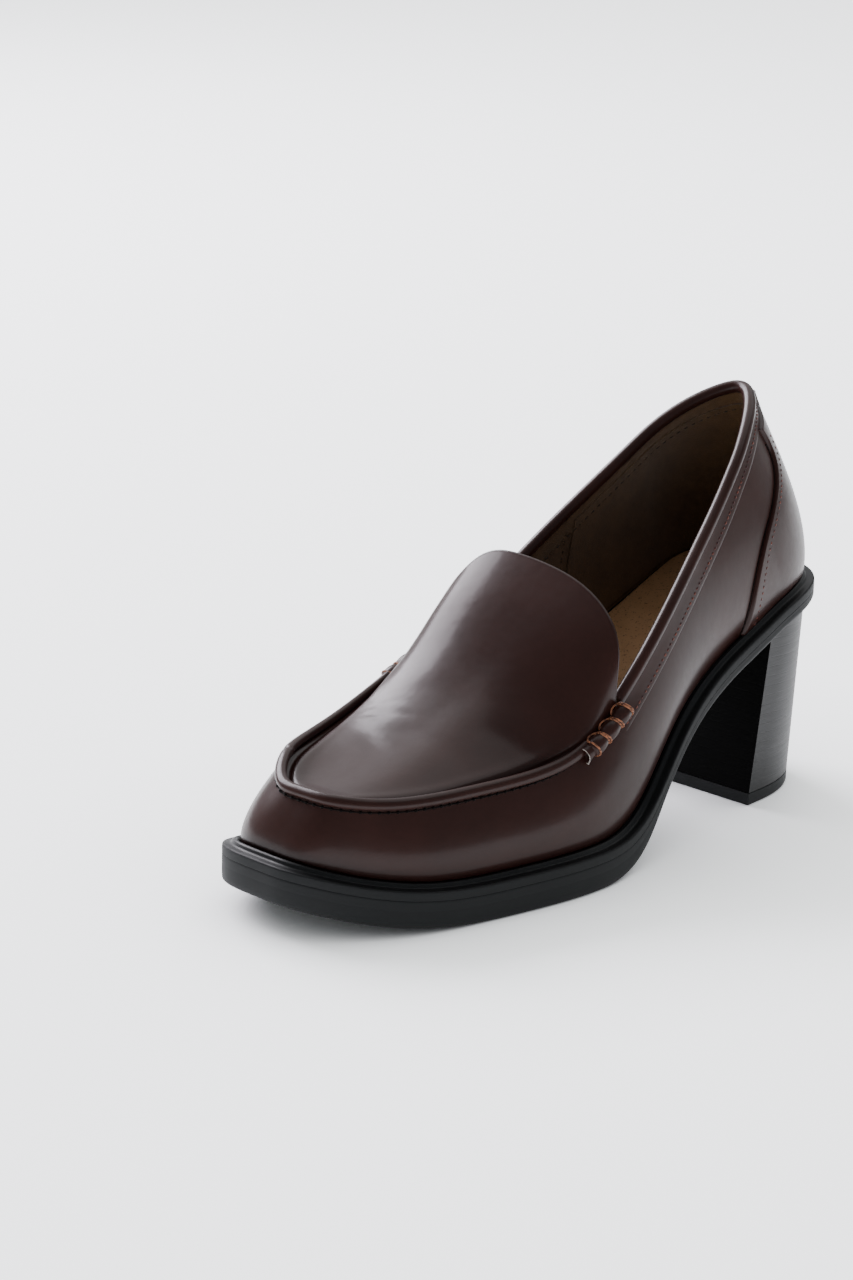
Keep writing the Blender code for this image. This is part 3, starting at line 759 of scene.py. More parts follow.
class Recipe:
    """A material in the making: its shader, and short ways to feed it."""

    def __init__(self, name: str, values: dict[str, object]) -> None:
        """Starts a material.

        Args:
            name: The material's name.
            values: Values of the shader's inputs.
        """
        self.made = bpy.data.materials.new(name)
        self.made.use_nodes = True
        self.tree = self.made.node_tree
        self.shader = self.tree.nodes["Principled BSDF"]
        self.place = self.node("ShaderNodeTexCoord").outputs["Object"]
        for key, value in values.items():
            self.shader.inputs[key].default_value = value

    def node(self, kind: str, values: dict | None = None, links: dict | None = None,
             **settings: object) -> bpy.types.Node:
        """Adds a node of a kind to this material, as add_node does."""
        return add_node(self.tree, kind, values, links, **settings)

    def feed(self, **sources: bpy.types.NodeSocket) -> None:
        """Links outputs to the shader's inputs, which are named with _ for a space."""
        for name, source in sources.items():
            self.tree.links.new(source, self.shader.inputs[name.replace("_", " ")])

    def noise(self, size_mm: float, detail: float = 2.0, roughness: float = 0.5) -> bpy.types.NodeSocket:
        """Soft noise with spots of about one size in millimetres."""
        values = {"Scale": 1 / (size_mm * MM), "Detail": detail, "Roughness": roughness}
        return self.node("ShaderNodeTexNoise", values, {"Vector": self.place}).outputs["Fac"]

    def mixed(self, share: bpy.types.NodeSocket, low: "str | bpy.types.NodeSocket",
              high: str) -> bpy.types.NodeSocket:
        """A colour between two others.

        Args:
            share: Share of the second colour.
            low: Code or output of the first colour.
            high: Code of the second colour.

        Returns:
            The mixed colour.
        """
        values, links = {7: linear(high)}, {0: share}
        if isinstance(low, str):
            values[6] = linear(low)
        else:
            links[6] = low
        return self.node("ShaderNodeMix", values, links, data_type="RGBA").outputs[2]

    def ranged(self, source: bpy.types.NodeSocket, low: float, high: float, start: float = 0.0,
               stop: float = 1.0) -> bpy.types.NodeSocket:
        """A value brought from one range to another.

        Args:
            source: The value.
            low: What it becomes at the start of its range.
            high: What it becomes at the end of it.
            start: Start of its own range.
            stop: End of its own range.

        Returns:
            The new value.
        """
        values = {"From Min": start, "From Max": stop, "To Min": low, "To Max": high}
        return self.node("ShaderNodeMapRange", values, {"Value": source}).outputs["Result"]

    def sum(self, operation: str, *terms: "float | bpy.types.NodeSocket") -> bpy.types.NodeSocket:
        """Works out one operation on numbers and outputs."""
        values = {i: term for i, term in enumerate(terms) if isinstance(term, float)}
        links = {i: term for i, term in enumerate(terms) if not isinstance(term, float)}
        return self.node("ShaderNodeMath", values, links, operation=operation).outputs[0]

    def bump(self, height: bpy.types.NodeSocket, strength: float, depth_mm: float,
             over: bpy.types.NodeSocket | None = None) -> bpy.types.NodeSocket:
        """A raised surface.

        Args:
            height: Height of the pattern.
            strength: How strongly it shows.
            depth_mm: Its depth in millimetres.
            over: A raised surface under this one.

        Returns:
            The new normal.
        """
        links = {"Height": height} if over is None else {"Height": height, "Normal": over}
        values = {"Strength": strength, "Distance": depth_mm * MM}
        return self.node("ShaderNodeBump", values, links).outputs["Normal"]


@dataclass(frozen=True)
class PolishedLeather:
    """Corrected-grain cowhide, pigmented and polished: deep brown red with a soft wet gloss."""

    name: str = "polished_cowhide"
    deep: str = "20100D"
    body: str = "331B17"
    # Colour of the painted shade, blended in by the shade attribute.
    edge: str = "120605"
    roughness: float = 0.36
    shine: float = 0.12
    coat: float = 0.18
    coat_roughness: float = 0.17
    cloud_mm: float = 26.0
    gloss_mm: float = 2.2
    grain_mm: float = 0.55
    ripple_mm: float = 9.0
    grain_strength: float = 0.05
    grain_depth_mm: float = 0.12
    ripple_strength: float = 0.10
    ripple_depth_mm: float = 1.2

    def build(self) -> bpy.types.Material:
        """Pigment clouds, pores and soft ripples under a thin polish."""
        look = Recipe(self.name, {"IOR": 1.5, "Coat Weight": self.coat, "Coat Roughness": self.coat_roughness,
                                  "Coat IOR": 1.5, "Specular IOR Level": self.shine})
        pigment = look.mixed(look.noise(self.cloud_mm, 3.0), self.deep, self.body)
        # The shade attribute blends in painted shade at the wall's foot and on the tongue's lip.
        painted_shade = look.node("ShaderNodeAttribute", attribute_name="shade").outputs["Fac"]
        gloss = look.ranged(look.noise(self.gloss_mm), self.roughness - 0.05, self.roughness + 0.07)
        pores = look.node("ShaderNodeTexVoronoi", {"Scale": 1 / (self.grain_mm * MM)}, {"Vector": look.place})
        ripples = look.bump(look.noise(self.ripple_mm), self.ripple_strength, self.ripple_depth_mm)
        grain = look.bump(pores.outputs["Distance"], self.grain_strength, self.grain_depth_mm, ripples)
        look.feed(Base_Color=look.mixed(painted_shade, pigment, self.edge), Roughness=gloss, Normal=grain,
                  Coat_Normal=ripples)
        return look.made


@dataclass(frozen=True)
class NappedLining:
    """Split pigskin lining with its nap out: a dry olive brown that takes no highlight."""

    name: str = "napped_pigskin"
    low: str = "3C2814"
    high: str = "5E4426"
    roughness: float = 0.95
    blotch_mm: float = 7.0
    nap_mm: float = 0.45

    def build(self) -> bpy.types.Material:
        """Soft blotches, a short nap and a faint sheen."""
        look = Recipe(self.name, {"IOR": 1.45, "Roughness": self.roughness, "Sheen Weight": 0.35,
                                  "Sheen Roughness": 0.5, "Specular IOR Level": 0.2})
        look.feed(Base_Color=look.mixed(look.noise(self.blotch_mm, 5.0, 0.65), self.low, self.high),
                  Normal=look.bump(look.noise(self.nap_mm), 0.5, 0.25))
        return look.made


@dataclass(frozen=True)
class SockLeather:
    """Vegetable-tanned sheepskin sock, unpolished: warm tan with fine dark pores."""

    name: str = "tanned_sheepskin"
    body: str = "B48C66"
    dark: str = "946E4A"
    speck: str = "6E4E30"
    roughness: float = 0.62
    mottle_mm: float = 9.0
    pore_mm: float = 0.9

    def build(self) -> bpy.types.Material:
        """A mottled tan with pores that are drawn twice as coarse as real ones so that they show."""
        look = Recipe(self.name, {"IOR": 1.48, "Roughness": self.roughness, "Specular IOR Level": 0.35})
        pores = look.noise(self.pore_mm)
        tan = look.mixed(look.noise(self.mottle_mm, 6.0, 0.7), self.body, self.dark)
        specks = look.ranged(pores, 0.0, 1.0, 0.58, 0.75)
        look.feed(Base_Color=look.mixed(specks, tan, self.speck), Normal=look.bump(pores, 0.25, 0.15))
        return look.made


@dataclass(frozen=True)
class SoleRubber:
    """Moulded thermoplastic rubber: black, satin on the walls and glossier where it is a rand."""

    name: str
    body: str
    roughness: float
    worn: str = "17191A"
    shine: float = 0.17
    haze_mm: float = 14.0
    texture_mm: float = 0.8
    texture_strength: float = 0.12

    def build(self) -> bpy.types.Material:
        """Near black with a faint mould texture and uneven gloss."""
        look = Recipe(self.name, {"IOR": 1.5, "Specular IOR Level": self.shine})
        haze = look.noise(self.haze_mm, 4.0)
        look.feed(Base_Color=look.mixed(haze, self.body, self.worn),
                  Roughness=look.ranged(haze, self.roughness - 0.06, self.roughness + 0.08),
                  Normal=look.bump(look.noise(self.texture_mm), self.texture_strength, 0.1))
        return look.made


@dataclass(frozen=True)
class StackedBoard:
    """Leather board heel, stacked, sanded and lacquered black: thin level lines under a satin coat."""

    name: str = "lacquered_leather_board"
    body: str = "050506"
    line: str = "131313"
    layer_mm: float = 3.4
    line_share: float = 0.06
    tilt: float = 0.10
    streak_scale: tuple[float, float, float] = (60.0, 60.0, 2600.0)
    roughness: float = 0.42
    shine: float = 0.25

    def build(self) -> bpy.types.Material:
        """Layer lines from the height, a little tilted, with sanding streaks between them."""
        look = Recipe(self.name, {"IOR": 1.5, "Specular IOR Level": self.shine})
        parts = look.node("ShaderNodeSeparateXYZ", None, {"Vector": look.place})
        height = look.sum("ADD", parts.outputs["Z"], look.sum("MULTIPLY", parts.outputs["Y"], self.tilt))
        layer = look.sum("FRACT", look.sum("DIVIDE", height, self.layer_mm * MM))
        middle = look.sum("ABSOLUTE", look.sum("SUBTRACT", layer, 0.5))
        line = look.ranged(middle, 0.0, 1.0, 0.5 - self.line_share, 0.5)
        flat = look.node("ShaderNodeMapping", {"Scale": self.streak_scale}, {"Vector": look.place})
        streak = look.node("ShaderNodeTexNoise", {"Scale": 1.0, "Detail": 3.0},
                           {"Vector": flat.outputs["Vector"]}).outputs["Fac"]
        sanded = look.sum("MULTIPLY_ADD", streak, streak, 0.18)
        tint = look.sum("MAXIMUM", look.sum("MULTIPLY", line, 0.5), sanded)
        look.feed(Base_Color=look.mixed(tint, self.body, self.line),
                  Roughness=look.ranged(streak, self.roughness - 0.06, self.roughness + 0.12),
                  Normal=look.bump(look.sum("SUBTRACT", streak, line), 0.35, 0.12))
        return look.made


@dataclass(frozen=True)
class WaxedThread:
    """Twisted polyester thread with wax: a soft shine broken by its slanted plies."""

    name: str
    body: str
    shadow: str
    ply_mm: float = 0.5
    shine: float = 0.4
    slant: tuple[float, float, float] = (0.6, 0.5, 0.7)

    def build(self) -> bpy.types.Material:
        """Slanted plies, drawn a little coarser than real ones so that they show."""
        look = Recipe(self.name, {"IOR": 1.5, "Roughness": 0.6, "Specular IOR Level": self.shine})
        turned = look.node("ShaderNodeMapping", {"Rotation": self.slant}, {"Vector": look.place})
        plies = look.node("ShaderNodeTexWave", {"Scale": 1 / (self.ply_mm * MM * 6.28), "Distortion": 1.0},
                          {"Vector": turned.outputs["Vector"]}).outputs["Fac"]
        look.feed(Base_Color=look.mixed(plies, self.shadow, self.body), Normal=look.bump(plies, 0.6, 0.1))
        return look.made


@dataclass
class Finishes:
    """Every finish of the shoe."""

    leather: bpy.types.Material
    lining: bpy.types.Material
    sock: bpy.types.Material
    rand: bpy.types.Material
    rubber: bpy.types.Material
    heel: bpy.types.Material
    breast: bpy.types.Material
    copper: bpy.types.Material
    tonal: bpy.types.Material
    lining_thread: bpy.types.Material
    sunk_thread: bpy.types.Material
    raw: bpy.types.Material

    @classmethod
    def made(cls) -> "Finishes":
        """Builds each finish once."""
        return cls(
            leather=PolishedLeather().build(),
            lining=NappedLining().build(),
            sock=SockLeather().build(),
            rand=SoleRubber("glossy_rand_rubber", "08090A", 0.42).build(),
            rubber=SoleRubber("moulded_sole_rubber", "101112", 0.60).build(),
            heel=StackedBoard().build(),
            # The breast's copy of the stack is darker and duller: painted shade on the face that turns from
            # the light.
            breast=StackedBoard("shaded_leather_board", "020202", "050505", shine=0.03).build(),
            copper=WaxedThread("waxed_copper_thread", "9A6142", "4E2C1C").build(),
            tonal=WaxedThread("waxed_russet_thread", "6E3A2E", "34191A").build(),
            lining_thread=WaxedThread("waxed_olive_thread", "4A3721", "241A10").build(),
            # Black thread of the apron's stitches, and the colour of the painted shadow lines under the
            # apron's roll and at the counter's front edges.
            sunk_thread=WaxedThread("waxed_black_thread_and_shadow", "0D0605", "050202", shine=0.08).build(),
            raw=WaxedThread("raw_split_edge", "C9C2BC", "8E857E").build())


class Slot(Enum):
    """The record's material slots."""

    LEATHER = "burgundy_leather"
    SOCK = "tan_leather"
    RAND = "black_rand"
    RUBBER = "black_rubber"
    STACK = "black_stack"


@dataclass
class Shoe:
    """What all sub-assemblies share: the last, the finishes and the way into the CAD frame."""

    last: Last
    finishes: Finishes
    margin: float = 0.0062
    shift: Array = field(default_factory=lambda: np.zeros(3))

    def __post_init__(self) -> None:
        """Finds the shift from the last's frame to the CAD frame by the outsole."""
        low = np.array(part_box("outsole")[0])
        edges = []
        for side in Side:
            station = np.linspace(0, 1, 800)
            out = self.last.feather.outward(side, station)
            edges.append(self.last.feather.at(side, station) + out * self.margin)
        own = np.concatenate(edges).min(axis=0)
        self.shift = np.array([low[0] - own[0], low[1] - own[1], 0.0])

    def add(self, name: str, mesh: Mesh, finishes: Sequence[bpy.types.Material], slot: Slot,
            replaces: Sequence[str] = (), shade: Array | None = None,
            sharp: float = 50.0) -> bpy.types.Object:
        """Adds a piece to the scene, riding on the shoe.

        Args:
            name: The piece's name.
            mesh: Its shape in the last's frame.
            finishes: Its materials, in the order of the faces' numbers.
            slot: The record's slot for its finish; not used.
            replaces: The CAD nodes that it stands for.
            shade: How much painted shade darkens the leather at each point.
            sharp: Angle in degrees over which an edge stays sharp.

        Returns:
            The new object.
        """
        data = bpy.data.meshes.new(name)
        rows = [tuple(dict.fromkeys(map(int, face))) for face in mesh.faces]
        kept = [i for i, row in enumerate(rows) if len(row) > 2]
        data.from_pydata((mesh.points + self.shift).tolist(), [], [rows[i] for i in kept])
        data.polygons.foreach_set("material_index", mesh.finish[kept].astype(np.int32))
        if shade is not None:
            layer = data.attributes.new("shade", "FLOAT", "POINT")
            layer.data.foreach_set("value", np.asarray(shade, np.float32))
        data.validate()
        data.shade_smooth()
        data.set_sharp_from_angle(angle=np.radians(sharp))
        for finish in finishes:
            data.materials.append(finish)
        piece = bpy.data.objects.new(name, data)
        bpy.context.scene.collection.objects.link(piece)
        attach(piece, "root")
        if replaces:
            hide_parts(*replaces)
        LOG.info("%s: %d faces", name, len(kept))
        return piece

    def around(self, front: int, apron: int, collar: int) -> list[tuple[Side, float]]:
        """Sides and stations from the toe along the outer side, round the heel and back.

        Args:
            front: Steps from the toe's middle to the apron's corner.
            apron: Steps from there to the bar.
            collar: Steps from there to the heel's middle.

        Returns:
            A side and a station for each column.
        """
        columns = {}
        for side in Side:
            bar = self.last.bars[side]
            columns[side] = np.concatenate([
                np.linspace(0, self.last.corner, front + 1),
                np.linspace(self.last.corner, bar, apron + 1)[1:],
                np.linspace(bar, 1, collar + 1)[1:]])
        outer = [(Side.OUTER, float(s)) for s in columns[Side.OUTER]]
        return outer + [(Side.INNER, float(s)) for s in columns[Side.INNER][1:-1][::-1]]

    def collar(self, start: float, count: int) -> list[tuple[Side, float]]:
        """Sides and stations of the collar, from a distance behind one bar round to the other.

        Args:
            start: Distance behind the bar.
            count: Columns on each side.

        Returns:
            A side and a station for each column.
        """
        run = []
        for side in Side:
            first = self.last.top.after(side, self.last.bars[side], start)
            stations = np.linspace(first, 1, count)
            run += [(side, float(s)) for s in (stations if side is Side.OUTER else stations[::-1][1:])]
        return run


def ring_body(profiles: Array, tip_first: bool = True) -> Mesh:
    """A closed solid from edge profiles round an outline, filled across between its two sides.

    Args:
        profiles: A profile for each column, from one tip round the other and back.
        tip_first: Whether the first column is a tip too.

    Returns:
        The solid.
    """
    columns, rows = profiles.shape[:2]
    index = np.arange(columns * rows).reshape(columns, rows)
    faces = [quads(index, ring=True)]
    here = np.arange(columns // 2)
    far = (columns - here) % columns if tip_first else columns - 1 - here
    far_after = columns - here - 1 if tip_first else columns - 2 - here
    for row, order in ((0, 1), (rows - 1, -1)):
        faces.append(np.stack([index[k, row] for k in (here, far, far_after, here + 1)], axis=-1)[:, ::order])
    faces = np.concatenate(faces)
    return Mesh(profiles.reshape(-1, 3), faces, np.zeros(len(faces), int))


@dataclass
class Upper:
    """Wall, apron and tongue, with their lining and the creases of the vamp."""

    shoe: Shoe
    wall_thickness: float = 0.0020
    front: int = 44
    apron_rows: int = 110
    collar: int = 84
    wall_rows: int = 44
    apron_columns: int = 90
    tongue_rows: int = 20
    lip_radius: float = 0.00105
    valley_depth: float = 0.0007
    blend_rows: int = 14
    blend_rounds: int = 60
    # Painted shade: how high it reaches up the wall, how dark it is at the feather line, and how dark it
    # makes the tongue's lip.
    painted_shade_height: float = 0.0070
    painted_shade_strength: float = 0.75
    lip_shade: float = 0.15
    crease_bow: float = 0.6
    crease_ridge: float = 0.55
    trough_place: float = 0.0033
    trough_width: float = 0.0011
    ridge_place: float = 0.0062
    ridge_width: float = 0.0019
    ridge_share: float = 0.35
    valley_end: float = 0.62
    valley_fade: float = 0.25

    def wall(self) -> Mesh:
        """Closed shell of the wall, leather outside and lining inside.

        Returns:
            The wall.
        """
        last = self.shoe.last
        rises = spaced(self.wall_rows, 1.25)
        columns = self.shoe.around(self.front, self.apron_rows, self.collar)
        outer = np.array([last.wall(side, np.full(rises.shape, station), rises) for side, station in columns])
        inner = outer - grid_normals(outer, ring=True) * self.wall_thickness
        return shell(outer, inner, ring=True, inside=1)

    def creases(self, points: Array, normals: Array) -> Array:
        """Soft troughs across the vamp, each with a low ridge beside it.

        Args:
            points: Points of the apron and tongue.
            normals: Directions out of the leather.

        Returns:
            The points with the creases pressed in.
        """
        last = self.shoe.last
        moved = points.copy()
        for across, along, half_length, half_width, turn, depth in CREASE_ROWS:
            middle = last.apron(np.array(across), np.array(along))
            cos, sin = np.cos(np.radians(turn)), np.sin(np.radians(turn))
            away = points[..., :2] - middle[:2]
            far = (away[..., 0] * cos + away[..., 1] * sin) / (half_length * MM)
            near = (away[..., 1] * cos - away[..., 0] * sin) / (half_width * MM)
            bowed = near + self.crease_bow * far ** 2
            ridge = self.crease_ridge * np.exp(-(bowed - 2.0) ** 2 / 1.8)
            dip = np.exp(-far ** 4) * (np.exp(-bowed ** 2) - ridge)
            moved -= normals * (depth * MM * dip)[..., None]
        return moved

    def apron(self) -> tuple[Mesh, Array]:
        """Closed shell of the apron and tongue, and the tongue's edge.

        Returns:
            The shell, and points along the tongue's edge.
        """
        last = self.shoe.last
        across = 2 * spaced(self.apron_columns, 1.9) - 1
        along = np.linspace(0, 1, self.apron_rows + 1) ** 1.5
        reach = np.linspace(0, 1, self.tongue_rows + 1)[1:]
        flat = last.apron(across[:, None], along[None, :])
        free = last.tongue(across[:, None], reach[None, :])
        outer = self.blended(np.concatenate([flat, free], axis=1), len(along) - 1)
        normals = grid_normals(outer, ring=False)
        normals *= np.sign(normals[..., 2:3].mean())
        outer = self.creases(outer, normals) + normals * self.valley(flat, along, outer.shape[1])[..., None]
        inner = outer - normals * self.wall_thickness
        mesh = shell(outer, inner, ring=False, inside=1)
        return mesh, (outer[:, -1] + inner[:, -1]) / 2

    def blended(self, outer: Array, join: int) -> Array:
        """The apron and tongue with the bend between them eased out.

        Args:
            outer: Points by column and row.
            join: Row where the tongue starts.

        Returns:
            The points with the bend eased out.
        """
        rows = np.arange(outer.shape[1])
        near = ease(1 - np.abs(rows - join) / self.blend_rows)[1:-1, None]
        for _ in range(self.blend_rounds):
            middle = (outer[:, :-2] + outer[:, 2:]) / 2
            outer[1:-1, 1:-1] += 0.5 * near * (middle - outer[:, 1:-1])[1:-1]
        return outer

    def valley(self, flat: Array, along: Array, rows: int) -> Array:
        """Heights of the trough inside the seam's roll and of the soft ridge beyond it.

        Args:
            flat: Points of the apron, without the tongue.
            along: Share of the apron's length of each row.
            rows: Rows of the apron and the tongue together.

        Returns:
            How far each point is lifted out of the leather.
        """
        seam = np.concatenate([flat[0, ::-1], flat[:, 0], flat[-1]])[::2]
        away = np.min(np.linalg.norm(flat[:, :, None] - seam[None, None], axis=-1), axis=-1)
        trough = -self.valley_depth * np.exp(-((away - self.trough_place) / self.trough_width) ** 2)
        rise = self.ridge_share * self.valley_depth
        ridge = rise * np.exp(-((away - self.ridge_place) / self.ridge_width) ** 2)
        lift = np.zeros((len(flat), rows))
        fade = ease((along - self.valley_end) / self.valley_fade)
        lift[:, :len(along)] = (trough + ridge) * (1 - fade)
        return lift

    def build(self) -> None:
        """Builds the upper and the tongue's rolled lip."""
        wall = self.wall()
        apron, edge = self.apron()
        sideways, up = frames(edge, np.tile([0.0, 1.0, 0.3], (len(edge), 1)))
        lip = sweep(edge, sideways, up, circle(self.lip_radius, 14))
        body = Mesh.join([wall, apron, lip])
        # Painted shade darkens the wall's foot and the tongue's lip; the apron gets none.
        shade = np.concatenate([
            self.painted_shade(wall.points), np.zeros(len(apron.points)),
            np.full(len(lip.points), self.lip_shade)])
        finishes = self.shoe.finishes
        self.shoe.add("vamp_and_quarters", body, [finishes.leather, finishes.lining], Slot.LEATHER,
                      ["upper"], shade)

    def painted_shade(self, points: Array) -> Array:
        """Painted shade where the wall turns under to the sole, darkest at the feather line.

        Args:
            points: Points of the wall.

        Returns:
            How dark each is.
        """
        last = self.shoe.last
        foot = last.foot(np.clip(points[:, 1] / last.length, 0, 1))
        return self.painted_shade_strength * (1 - ease((points[:, 2] - foot) / self.painted_shade_height))


@dataclass
class ApronSeam:
    """Rolled edge of the apron with its sunk stitches, and the wrapped bars at its ends."""

    shoe: Shoe
    roll_width: float = 0.0040
    roll_height: float = 0.0031
    roll_inset: float = 0.0013
    roll_lift: float = 0.0011
    bar_length: float = 0.0205
    bar_radius: float = 0.0030
    bar_lobes: int = 3
    bar_waist: float = 0.66
    bar_setback: float = 0.0036
    bar_tuck: float = 0.0008
    outer_stand: float = 0.95
    inner_stand: float = 0.55
    thread_radius: float = 0.00034
    stitch_pitch: float = 0.0030
    stitch_length: float = 0.0014
    stitch_radius: float = 0.00050
    stitch_drop: float = 0.0010
    shadow_line_radius: float = 0.00024
    sleeve_length: float = 0.0030
    sleeve_wall: float = 0.0006
    sleeve_droop: float = 0.45
    sleeve_drop: float = 0.0009
    sleeve_neck: float = 0.80
    sleeve_flare: float = 0.16
    sleeve_flatness: float = 0.85
    stitch_proud: float = 0.0002
    thread_sink: float = 0.4
    bow_swell: float = 0.0005

    def seam(self, count: int) -> tuple[Array, Array]:
        """Points on the seam from bar to bar round the toe, with lift directions.

        Args:
            count: Points on each side.

        Returns:
            The points and the lift directions.
        """
        last = self.shoe.last
        points, lifts = [], []
        for side in (Side.INNER, Side.OUTER):
            end = last.top.after(side, last.bars[side], self.bar_setback + self.bar_tuck - self.bar_length)
            stations = np.linspace(0, end, count)
            stations = stations[::-1] if side is Side.INNER else stations[1:]
            points.append(last.top.at(side, stations))
            lifts.append(last.seam_lift(side, stations))
        return np.concatenate(points), np.concatenate(lifts)

    def stitch_row(self, count: int) -> tuple[Array, Array]:
        """Points on the wall just under the roll, with directions out of the wall.

        Args:
            count: Points on each side.

        Returns:
            The points and the directions.
        """
        last = self.shoe.last
        points, outs = [], []
        for side in (Side.INNER, Side.OUTER):
            end = last.top.after(side, last.bars[side], self.bar_setback - self.bar_length)
            stations = np.linspace(0, end, count)
            stations = stations[::-1] if side is Side.INNER else stations[1:]
            heights = np.array([last.wall_height(side, s) for s in stations])
            rises = 1 - self.stitch_drop / heights
            points.append(last.wall(side, stations, rises))
            outs.append(last.wall_normal(side, stations, rises))
        return np.concatenate(points), np.concatenate(outs)

    def build(self) -> None:
        """Builds the roll, its stitches and both bars."""
        finishes = self.shoe.finishes
        seam, lift = self.seam(170)
        sideways, up = frames(seam, lift)
        route = seam + up * self.roll_lift - sideways * self.roll_inset
        section = circle(self.roll_width / 2, 24, self.roll_height / self.roll_width)
        roll = sweep(route, sideways, up, section)
        self.shoe.add("apron_piping", roll, [finishes.leather], Slot.LEATHER, ["apron_roll"],
                      np.zeros(len(roll.points)))
        row, out = self.stitch_row(170)
        sunk = stitches(row + out * self.stitch_proud, out, self.stitch_pitch, self.stitch_length,
                        self.stitch_radius)
        # A thin dark tube along the stitch row is a painted shadow of the crease under the roll.
        sideways, up = frames(row, out)
        line = sweep(row, sideways, up, circle(self.shadow_line_radius, 8))
        self.shoe.add("apron_seam_stitches_and_shadow_line", Mesh.join([sunk, line]), [finishes.sunk_thread], Slot.LEATHER)
        for side in Side:
            self.bar(side)

    def radius(self, share: Array) -> Array:
        """Radius of the lobes at shares of the bar."""
        lobes = np.abs(np.sin(np.pi * self.bar_lobes * share)) ** 0.5
        return self.bar_radius * (self.bar_waist + (1 - self.bar_waist) * lobes)

    def bar(self, side: Side) -> None:
        """Builds one wrapped bar: its leather lobes, thread and the flared front end.

        Args:
            side: The side that it is on.
        """
        last = self.shoe.last
        name = side.name.lower()
        rear = last.top.after(side, last.bars[side], self.bar_setback)
        front = last.top.after(side, rear, -self.bar_length)
        share = np.linspace(0, 1, 121)
        stations = front + (rear - front) * share
        lift = last.seam_lift(side, stations)
        raised = self.bar_radius * (self.outer_stand if side is Side.OUTER else self.inner_stand)
        route = last.top.at(side, stations) + lift * raised
        sideways, up = frames(route, lift)
        sideways = sideways * side.value
        lobes = sweep(route, sideways, up, circle(1.0, 32)[None] * self.radius(share)[:, None, None])
        self.shoe.add(f"wrapped_bar_{name}", lobes, [self.shoe.finishes.leather], Slot.LEATHER,
                      [f"kicker_{name}"], np.zeros(len(lobes.points)))
        self.thread(name, share, route, sideways, up)
        self.sleeve(name, route, sideways[0], up[0])

    def thread(self, name: str, share: Array, route: Array, sideways: Array, up: Array) -> None:
        """Builds the thread of one bar: turns round its waists and bows along its lobes.

        Args:
            name: The bar's side.
            share: Shares of the bar's length.
            route: Points along its middle at these shares.
            sideways: Level directions out of the shoe there.
            up: Directions out of the leather there.
        """
        def over(at: Array, lean: Array, swell: Array | float) -> Mesh:
            """Thread over the bar at shares along it and angles round it."""
            middle, wide, high = [read_rows(at, share, table) for table in (route, sideways, up)]
            away = np.cos(lean)[:, None] * wide + np.sin(lean)[:, None] * high
            reach = self.radius(at) + self.thread_sink * self.thread_radius + swell
            line = middle + away * reach[:, None]
            across, out = frames(line, away)
            return sweep(line, across, out, circle(self.thread_radius, 8))

        turn = np.linspace(np.radians(-75), np.radians(255), 44)
        parts = [over(at + slant * np.sin(turn * 1.5), turn, 0.0) for at, slant in BAR_TURNS]
        bow = np.linspace(0, 1, 22)
        arch = np.sin(np.pi * bow)
        for lobe in range(self.bar_lobes):
            start, end = (lobe + 0.16) / self.bar_lobes, (lobe + 0.92) / self.bar_lobes
            for foot, swing in ((-22, -18), (202, 18)):
                lean = np.radians(foot + swing * arch)
                parts.append(over(start + (end - start) * bow, lean, self.bow_swell * arch))
        self.shoe.add(f"bar_thread_{name}", Mesh.join(parts), [self.shoe.finishes.copper], Slot.LEATHER)

    def sleeve(self, name: str, route: Array, sideways: Array, up: Array) -> None:
        """Builds the flared front end of a bar, with a raw rim.

        Args:
            name: The bar's side.
            route: Points along the bar's middle from its front.
            sideways: Level direction out of the shoe at its front.
            up: Direction out of the leather there.
        """
        finishes = self.shoe.finishes
        steps = np.linspace(0, 1, 9)
        ahead = -unit(route[1] - route[0])
        angle = np.linspace(0, 2 * np.pi, 32, endpoint=False)
        flare = self.bar_radius * (self.sleeve_neck + self.sleeve_flare * steps ** 1.5)
        hang = steps[None, :] * np.clip(np.cos(angle + 0.5), 0, 1)[:, None]
        flare = (1 + self.sleeve_droop * hang ** 1.3) * flare
        centre = route[4] + steps[:, None] * (ahead * self.sleeve_length - up * self.sleeve_drop)
        spread = np.cos(angle)[:, None] * sideways + np.sin(angle)[:, None] * up
        spread = spread * np.where(np.sin(angle) > 0, self.sleeve_flatness, 1.0)[:, None]
        outer = centre[None] + spread[:, None] * flare[:, :, None]
        inner = centre[None] + spread[:, None] * (flare - self.sleeve_wall)[:, :, None]
        sleeve = shell(outer, inner, ring=True, rim=1)
        self.shoe.add(f"flared_bar_end_{name}", sleeve, [finishes.leather, finishes.raw], Slot.LEATHER,
                      shade=np.zeros(len(sleeve.points)))


